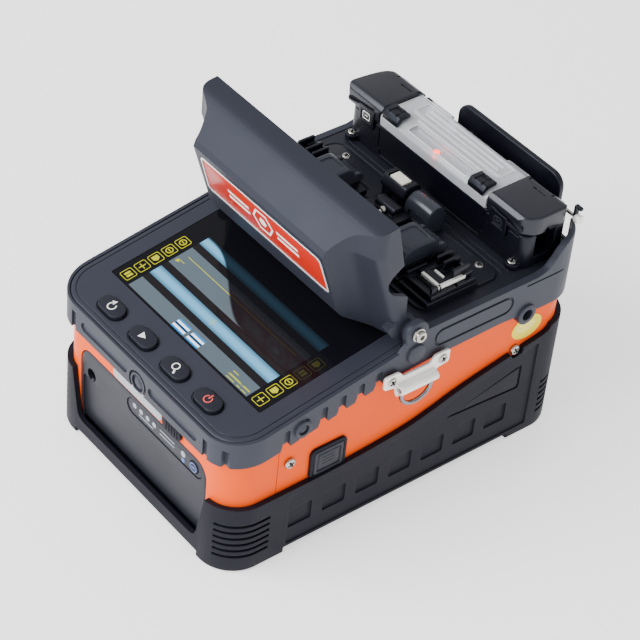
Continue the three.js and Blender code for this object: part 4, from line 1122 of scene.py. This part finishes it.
class SPLICER_OT_hinge_screws(bpy.types.Operator):
    """Hexagon-socket hinge screws, each with a bright collar"""
    bl_idname = "splicer.hinge_screws"
    bl_label = "Hinge screws"

    def execute(self, context):
        for side, name in SIDES:
            profile = [(0, 0), (3.4, 0), (3.4, 0.8), (2.8, 1.0), (2.8, 2.5), (2.4, 2.9), (0, 2.9)]
            head = turned(profile, (side * 69.2, PIVOT_Y, PIVOT_Z), (side, 0, 0), 36)
            carve(head, pin(side, 1.45, 70.4, 75, (PIVOT_Y, PIVOT_Z), steps=6))
            weld(head, pin(side, 1.6, 59.8, 70, (PIVOT_Y, PIVOT_Z)))
            finish(head, "hinge_screw_%s_head" % name, "housing", "steel",
                   ["hinge_screw_" + name])
        return {"FINISHED"}


# ------------------------------------------------------------------ tube heater
LAMP = (-5, 67.2)  # where the heater's lamp stands, seen from above
LID_MIDDLE = -3.5  # the lid is this far off the tool's middle


def pin_hole():
    """Cutter for the heater's hinge pin, the whole way along."""
    return rod(1.25, -70, 70, HINGE_Y, HINGE_Z, "X")


def hinge_knuckles(spans):
    """Round knuckles on the heater's hinge line, each with a web to its lid or cap."""
    return [weld(rod(2.1, x0, x1, HINGE_Y, HINGE_Z, "X", 0.3),
                 block(x0, x1, 88.6, HINGE_Y, HINGE_Z - 0.6, HINGE_Z + 2.1)) for x0, x1 in spans]


class SPLICER_OT_heater(bpy.types.Operator):
    """Heater body with its channel, ears, end bosses, hot plate, pin and lamp"""
    bl_idname = "splicer.heater"
    bl_label = "Heater"

    def execute(self, context):
        foot_xs, mid_xs = (-59, 56), (-50.5, 43.5)  # end bosses, middles of the caps' catches
        body = filleted(rect(-63.2, 61, 64, 91), 6, 8)
        heater = prism(body, 100, 117.7, bevel=0.5)
        ears = [weld(block(x - 1.4, x + 1.4, 90.5, HINGE_Y, 110, HINGE_Z),
                     rod(2.1, x - 1.4, x + 1.4, HINGE_Y, HINGE_Z, "X"))
                for x in (-59, -40.1, -9.5, 33.1, 52)]
        weld(heater, *ears, *[rod(3.6, 100, 102.6, x, 63.6, "Z", 0.4) for x in foot_xs])
        carve(heater, block(-80, 80, 71, 83, 105, 130), pin_hole(),
              block(-40, 32, 60, 64.6, 101.2, 104.4), block(-60, -41, 60, 64.4, 116.4, 119),
              block(35, 57, 60, 64.4, 116.4, 119),
              *[block(x, x + 0.8, 60, 64.4, 104.6, 116) for x in (-41.3, 33.5)],
              *[block(x - 6.6, x + 6.6, 60, 64.6, 112.2, 119) for x in mid_xs])
        finish(heater, "heater_block", "housing", "black", ["heater_body"])
        heads = [screw((x, 63.2, 102.6), (0, 0, 1), 2.1, 0.9) for x in foot_xs]
        finish(merge(*heads), "heater_screws", "housing")
        plate = block(-38.5, 31.5, 71.3, 82.7, 105.3, 112, 0.2)
        carve(plate, prism([(74, 113), (76, 108), (78, 108), (80, 113)], -50, 50, "X"))
        finish(plate, "heater_hot_plate", "housing", "steel", ["heater_plate"])
        bulb = [(0, -3), (1.2, -3), (1.2, 0), (1.7, 0), (1.5, 0.7), (0.9, 1.1), (0, 1.2)]
        led = turned(bulb, (*LAMP, 122.9), (0, 0, 1), 20)
        finish(led, "heater_lamp", "housing", "led")
        hinge_pin = rod(0.9, -60.5, 61.3, HINGE_Y, HINGE_Z, "X", 0.2)
        finish(hinge_pin, "heater_pin_rod", "housing", "steel", ["heater_pin"])
        return {"FINISHED"}


class SPLICER_OT_heater_lid(bpy.types.Operator):
    """Clear heater lid with moulded ribs, and its two black latches"""
    bl_idname = "splicer.heater_lid"
    bl_label = "Heater lid"

    def execute(self, context):
        outer = filleted([(63.4, 118), (63.4, 123.6), (66.6, 126), (88, 126), (90.2, 124.6),
                          (90.2, 118)], 1.0)
        inner = [(64.8, 117), (64.8, 122.8), (67.2, 124.8), (87.4, 124.8), (88.8, 123.6), (88.8, 117)]
        sunk = filleted([(65.4, 123.4), (71, 123.4), (71.8, 130), (65.4, 130)], 0.8)
        trough = prism(sunk, -23.5, 17.5, "X", 0.8)
        under = block(-25, 19, 60, 73, 122.2, 130)
        lid = carve(prism(outer, -41, 34, "X", 0.4), carve(prism(inner, -39.6, 32.6, "X"), under), trough)
        weld(lid, *hinge_knuckles([(-37.5, -23.5), (16.5, 30.5)]))
        high = 126 + size(context, "rib_height") * 0.85  # ribs stay below the latches
        frame_rib = prism(rounded(-33.5, 28.5, 76.2, 87, 2.4), 125.4, high, bevel=0.25)
        weld(lid, carve(frame_rib, prism(rounded(-32.4, 27.4, 77.3, 85.9, 1.6), 120, 130)))
        ribs = [(-28, 23, 79.6, 80.3), (-28, 23, 82.8, 83.5), (-25.5, 19.5, 72.9, 73.8)]
        weld(lid, *[block(x0, x1, y0, y1, 125.4, high, 0.2) for x0, x1, y0, y1 in ribs])
        carve(lid, pin_hole(), rod(2.3, 119, 128, *LAMP, "Z"))
        finish(lid, "heater_lid_clear_shell", "heater_lid", "clear", ["heater_lid"], 25)
        clip = filleted([(62.7, 124.2), (62.7, 126.4), (64.4, 128.8), (71, 128.8), (71, 127.0), (66.4, 127.0),
                         (63.0, 124.2)], 0.5)
        for side, name in SIDES:
            x0, x1 = sorted((side * 25.2 + LID_MIDDLE, side * 35.6 + LID_MIDDLE))
            latch = prism(clip, x0, x1, "X", 0.25)
            carve(latch, block(x0 + 2.4, x0 + 3.4, 61, 72, 128.3, 130),
                  block(x1 - 3.4, x1 - 2.4, 61, 72, 128.3, 130),
                  block(x0 + 3.4, x1 - 3.4, 67, 69.6, 128.1, 130))
            finish(latch, "lid_latch_%s_clip" % name, "heater_lid", "black",
                   ["lid_latch_" + name])
        return {"FINISHED"}


# each end cap: its two ends and its knuckle along X, the middle of its catch, and its plan
CAPS = {
    "right": (34.3, 61.5, (37.5, 50), 43.5,
              arc(51, 73.9, 10.5, 270, 360, 12) + arc(57, 85.7, 4.5, 0, 90, 8)
              + [(34.3, 90.2), (34.3, 63.4)]),
    "left": (-68.5, -41.3, (-57, -44.5), -50.5,
             [(-41.3, 63.4)] + arc(-63.1, 67.6, 4.2, 270, 180, 8)
             + smooth([(-67, 72), (-66, 80), (-64.4, 85.6), (-61.2, 89), (-57, 90.2)], 5)
             + [(-41.3, 90.2)]),
}


class SPLICER_OT_heater_caps(bpy.types.Operator):
    """Rounded end caps of the heater, with top slots, wedge grooves and square catches"""
    bl_idname = "splicer.heater_caps"
    bl_label = "Heater caps"

    def execute(self, context):
        side_view = filleted([(63.4, 118), (63.4, 124.4), (66, 127.4), (88, 127.4), (90.2, 125.6),
                              (90.2, 118)], 1.2)
        for name, (x0, x1, hub, mid, outline) in CAPS.items():
            cap = keep(prism(side_view, x0, x1, "X"), prism(outline, 110, 127.4, bevel=1.2, segments=4))
            weld(cap, *hinge_knuckles([hub]))
            # a groove that widens from beside the lid towards the cap's outer end
            tip, root = (x1 - 1, x0 + 4) if name == "right" else (x0 + 1, x1 - 4)
            wedge = filleted([(root, 122.9), (root, 123.9), (tip, 122.2), (tip, 118.6)], 0.2, 2)
            carve(cap, prism([(74.5, 117), (77, 120.6), (79.5, 117)], -80, 80, "X"), pin_hole(),
                  block(mid - 1, mid + 7, 83.6, 84.8, 126.6, 130),
                  block(mid - 7, mid - 6.1, 86.4, 92, 126.4, 130),
                  block(mid + 8, mid + 8.9, 86.4, 92, 126.4, 130), prism(wedge, 60, 65.6, "Y"))
            finish(cap, "heater_cap_%s_shell" % name, "heater_cap_" + name, "gloss",
                   ["heater_cap_" + name])
            catch = block(mid - 5.6, mid + 5.6, 62.9, 63.6, 112.4, 122.2, 0.25)
            carve(catch, block(mid - 3.6, mid + 3.6, 60, 63.2, 114.6, 120.4))
            mark = "bracket" if name == "left" else "panel"
            ring = carve(prism(rounded(mid - 2.7, mid + 2.7, 115.4, 119.6, 1.2), 63.02, 63.12, "Y"),
                         prism(rounded(mid - 2.2, mid + 2.2, 115.9, 119.1, 0.9), 60, 70, "Y"))
            bar = block(mid - 1.1, mid + 1.1, 63.02, 63.12, 117.3, 117.8)
            catch = merge(paint(catch, "black"), paint(ring, mark), paint(bar, mark))
            finish(catch, "heater_catch_" + name, "heater_cap_" + name)
        return {"FINISHED"}


class SPLICER_OT_rear(bpy.types.Operator):
    """Rear tray and the knob on the end of the hinge pin"""
    bl_idname = "splicer.rear"
    bl_label = "Rear tray"

    def execute(self, context):
        tray = prism(rounded(-25, 46, 100.4, 128.8, 7), 97.8, 101, "Y", 0.9)
        carve(tray, prism(rounded(-22, 43, 103.4, 125.8, 5), 100.2, 110, "Y"))
        finish(tray, "rear_tray_panel", "housing", "black", ["rear_tray"])
        lever = weld(block(61.9, 63.5, 91.4, 93.8, 119, 127, 0.4),
                     block(61.9, 65.9, 91.8, 93.6, 125.4, 127, 0.3))
        knob = turned([(0, -1.4), (1.9, -1.4), (2.2, -0.9), (2.2, 1.3), (1.8, 1.8), (0, 1.9)],
                      (64.4, HINGE_Y, HINGE_Z), (1, 0, 0), 28)
        finish(merge(paint(lever, "black"), paint(knob, "bracket")), "pin_knob_set", "housing", None,
               ["pin_knob"])
        return {"FINISHED"}


# ------------------------------------------------------------------ side fittings
class SPLICER_OT_straps(bpy.types.Operator):
    """Strap brackets with their screws and D-rings"""
    bl_idname = "splicer.straps"
    bl_label = "Straps"

    def execute(self, context):
        plate = filleted([(-21, 77.4), (-21, 84.6), (-12.4, 84.6), (-10.4, 81.2), (5.4, 81.2), (7.6, 84.6),
                          (16.5, 84.6), (16.5, 77.4), (9.4, 76.4), (8, 70.6), (-13.2, 70.6),
                          (-14.6, 76.4)], 1.6)
        roll_x, roll_z, ring_y, ring_r = 73.1, 75, -3, 8.4
        loop = [(-ring_r, roll_z)] + arc(0, 70.6, ring_r, 180, 360, 20) + [(ring_r, roll_z)]
        for side, name in SIDES:
            bracket = across(side, plate, 70.3, 71.7, 0.3)
            weld(bracket, rod(2.5, -13.2, 8, side * roll_x, roll_z, "Y", 0.3),
                 brick(side, 70.4, roll_x, -13.2, 8, roll_z, 77.5),
                 brick(side, 70.4, 72.1, -13.2, 8, 70.6, 74, 0.3))
            carve(bracket, rod(1.5, -30, 30, side * roll_x, roll_z, "Y"))
            finish(bracket, "strap_bracket_%s_plate" % name, "housing", "bracket",
                   ["strap_bracket_" + name])
            heads = [screw((side * 71.6, y, 81.0), (side, 0, 0), 2.4, 1.1) for y in (-16.8, 12.2)]
            finish(merge(*heads), "strap_screws_" + name, "housing")
            curve = bpy.data.curves.new("ring_path", "CURVE")
            curve.dimensions = "3D"
            curve.bevel_depth = 1.1 * MM
            curve.bevel_resolution = 5
            spline = curve.splines.new("POLY")
            spline.points.add(len(loop) - 1)
            for knot, (y, z) in zip(spline.points, loop):
                flattened = roll_z + (z - roll_z) * 0.84
                knot.co = (side * roll_x * MM, (y + ring_y) * MM, flattened * MM, 1)
            spline.use_cyclic_u = True
            clear_selection()
            ring = bpy.data.objects.new("ring", curve)
            bpy.context.scene.collection.objects.link(ring)
            activate(ring)
            bpy.ops.object.convert(target="MESH")
            finish(bpy.context.object, "d_ring_%s_wire" % name, "d_ring_" + name, "chrome",
                   ["d_ring_" + name])
        return {"FINISHED"}


class SPLICER_OT_side_screws(bpy.types.Operator):
    """Cross-headed side screws"""
    bl_idname = "splicer.side_screws"
    bl_label = "Side screws"

    def execute(self, context):
        r = size(context, "screw_radius")
        for side, name in SIDES:
            for end, y, z in (("front", -66, 53.6), ("rear", 64.5, 56.4)):
                head = screw((side * 65.4, y, z), (side, 0, 0), r, 1.7)
                finish(head, "side_screw_%s_%s_head" % (end, name), "housing", None,
                       ["side_screw_%s_%s" % (end, name)])
        return {"FINISHED"}


class SPLICER_OT_release(bpy.types.Operator):
    """Square release button with a raised rim"""
    bl_idname = "splicer.release"
    bl_label = "Release button"

    def execute(self, context):
        button = prism(rounded(-52.6, -36.2, 39, 52.6, 1.2), 60, 66.9, "X", 0.5)
        carve(button, prism(rounded(-51, -37.8, 40.6, 51, 0.9), 66.4, 70, "X"))
        weld(button, prism(rounded(-50.2, -38.6, 41.4, 50.2, 0.7), 66, 66.75, "X", 0.3))
        bars = [prism(rounded(-48, -41, z, z + 0.8, 0.35, 2), 66.6, 66.88, "X") for z in (43.6, 45.4, 47.2)]
        weld(button, *bars)
        finish(button, "release_button_cap", "release_button", "key", ["release_button"])
        return {"FINISHED"}


# ------------------------------------------------------------------ studio
CAMERA_AZIMUTH, CAMERA_ELEVATION = math.radians(47.94), math.radians(40.58)
CAMERA_ROLL = math.radians(6.05)
CAMERA_AIM, CAMERA_DISTANCE, CAMERA_LENS = (5.8, -3.2, 62.4), 1075.2, 131.93


def area_light(name, at, target, extent, power):
    """A soft white light, aimed at a target; places in metres, power in watts."""
    clear_selection()
    bpy.ops.object.light_add(type="AREA", location=at)
    light = bpy.context.object
    light.name = name
    light.data.shape = "RECTANGLE"
    light.data.size, light.data.size_y = extent
    light.data.energy = power
    light.rotation_euler = (Vector(target) - Vector(at)).to_track_quat("-Z", "Y").to_euler()


class SPLICER_OT_studio(bpy.types.Operator):
    """Pale floor, soft lights and the camera"""
    bl_idname = "splicer.studio"
    bl_label = "Studio"

    def execute(self, context):
        clear_selection()
        bpy.ops.mesh.primitive_plane_add(size=14, location=(0, 0, -0.0004))
        floor = bpy.context.object
        floor.name = "studio_floor"
        paper = Tree("studio_paper")
        tone = paper.add("MapRange", {"Value": paper.noise(400, 2), "To Min": 0.93,
                                      "To Max": 0.96}).outputs[0]
        for key, value in {"Base Color": tone, "Roughness": 0.9, "Emission Color": (1.0, 1.0, 1.0),
                           "Emission Strength": 0.9}.items():
            paper.feed(paper.shader, key, value)
        floor.data.materials.append(paper.material)
        world = bpy.data.worlds.new("studio_air")
        world.use_nodes = True
        background = world.node_tree.nodes["Background"]
        background.inputs["Color"].default_value = (1, 1, 1, 1)
        background.inputs["Strength"].default_value = 0.9
        context.scene.world = world
        area_light("key_light", (-0.5, -1.3, 1.3), (0, 0, 0.05), (1.5, 1.0), 48)
        area_light("side_light", (1.7, 0.1, 0.7), (0, 0, 0.08), (0.9, 0.9), 3)
        area_light("front_light", (0.3, -1.8, 0.7), (0, 0, 0.06), (1.6, 0.6), 7)
        back = Vector((math.sin(CAMERA_AZIMUTH) * math.cos(CAMERA_ELEVATION),
                       -math.cos(CAMERA_AZIMUTH) * math.cos(CAMERA_ELEVATION), math.sin(CAMERA_ELEVATION)))
        right = Vector((math.cos(CAMERA_AZIMUTH), math.sin(CAMERA_AZIMUTH), 0))
        turn = Matrix((right, back.cross(right), back)).transposed().to_4x4()
        at = Vector(CAMERA_AIM) * MM + back * CAMERA_DISTANCE * MM
        bpy.ops.object.camera_add()
        camera = bpy.context.object
        camera.name = "studio_camera"
        camera.matrix_world = Matrix.Translation(at) @ turn @ Matrix.Rotation(CAMERA_ROLL, 4, "Z")
        camera.data.lens = CAMERA_LENS
        context.scene.camera = camera
        return {"FINISHED"}


# ------------------------------------------------------------------ panel and registration
PIECES = (SPLICER_OT_boot, SPLICER_OT_shell, SPLICER_OT_battery, SPLICER_OT_front_trim, SPLICER_OT_bumper,
          SPLICER_OT_bezel, SPLICER_OT_keys, SPLICER_OT_screen, SPLICER_OT_deck, SPLICER_OT_stages,
          SPLICER_OT_optics, SPLICER_OT_cover, SPLICER_OT_badge, SPLICER_OT_hinge_screws, SPLICER_OT_heater,
          SPLICER_OT_heater_lid, SPLICER_OT_heater_caps, SPLICER_OT_rear, SPLICER_OT_straps,
          SPLICER_OT_side_screws, SPLICER_OT_release, SPLICER_OT_studio)


class SPLICER_PT_tools(bpy.types.Panel):
    """Lists the splicer's pieces, sizes and colours."""
    bl_idname = "SPLICER_PT_tools"
    bl_label = "Fusion Splicer"
    bl_space_type = "VIEW_3D"
    bl_region_type = "UI"
    bl_category = "Splicer"

    def draw(self, context):
        column = self.layout.column()
        for group in (context.scene.splicer_sizes, context.scene.splicer_colours):
            for key in group.__annotations__:
                column.prop(group, key)
        for piece in PIECES:
            column.operator(piece.bl_idname)


GROUPS = (SplicerColours, SplicerSizes)


def register():
    for item in GROUPS + PIECES + (SPLICER_PT_tools,):
        bpy.utils.register_class(item)
    bpy.types.Scene.splicer_colours = bpy.props.PointerProperty(type=SplicerColours)
    bpy.types.Scene.splicer_sizes = bpy.props.PointerProperty(type=SplicerSizes)


def unregister():
    del bpy.types.Scene.splicer_sizes
    del bpy.types.Scene.splicer_colours
    for item in reversed(GROUPS + PIECES + (SPLICER_PT_tools,)):
        bpy.utils.unregister_class(item)


def main():
    register()
    make_looks(bpy.context.scene.splicer_colours)
    for piece in PIECES:
        getattr(bpy.ops.splicer, piece.bl_idname.split(".")[1])()


if __name__ == "__main__":
    main()
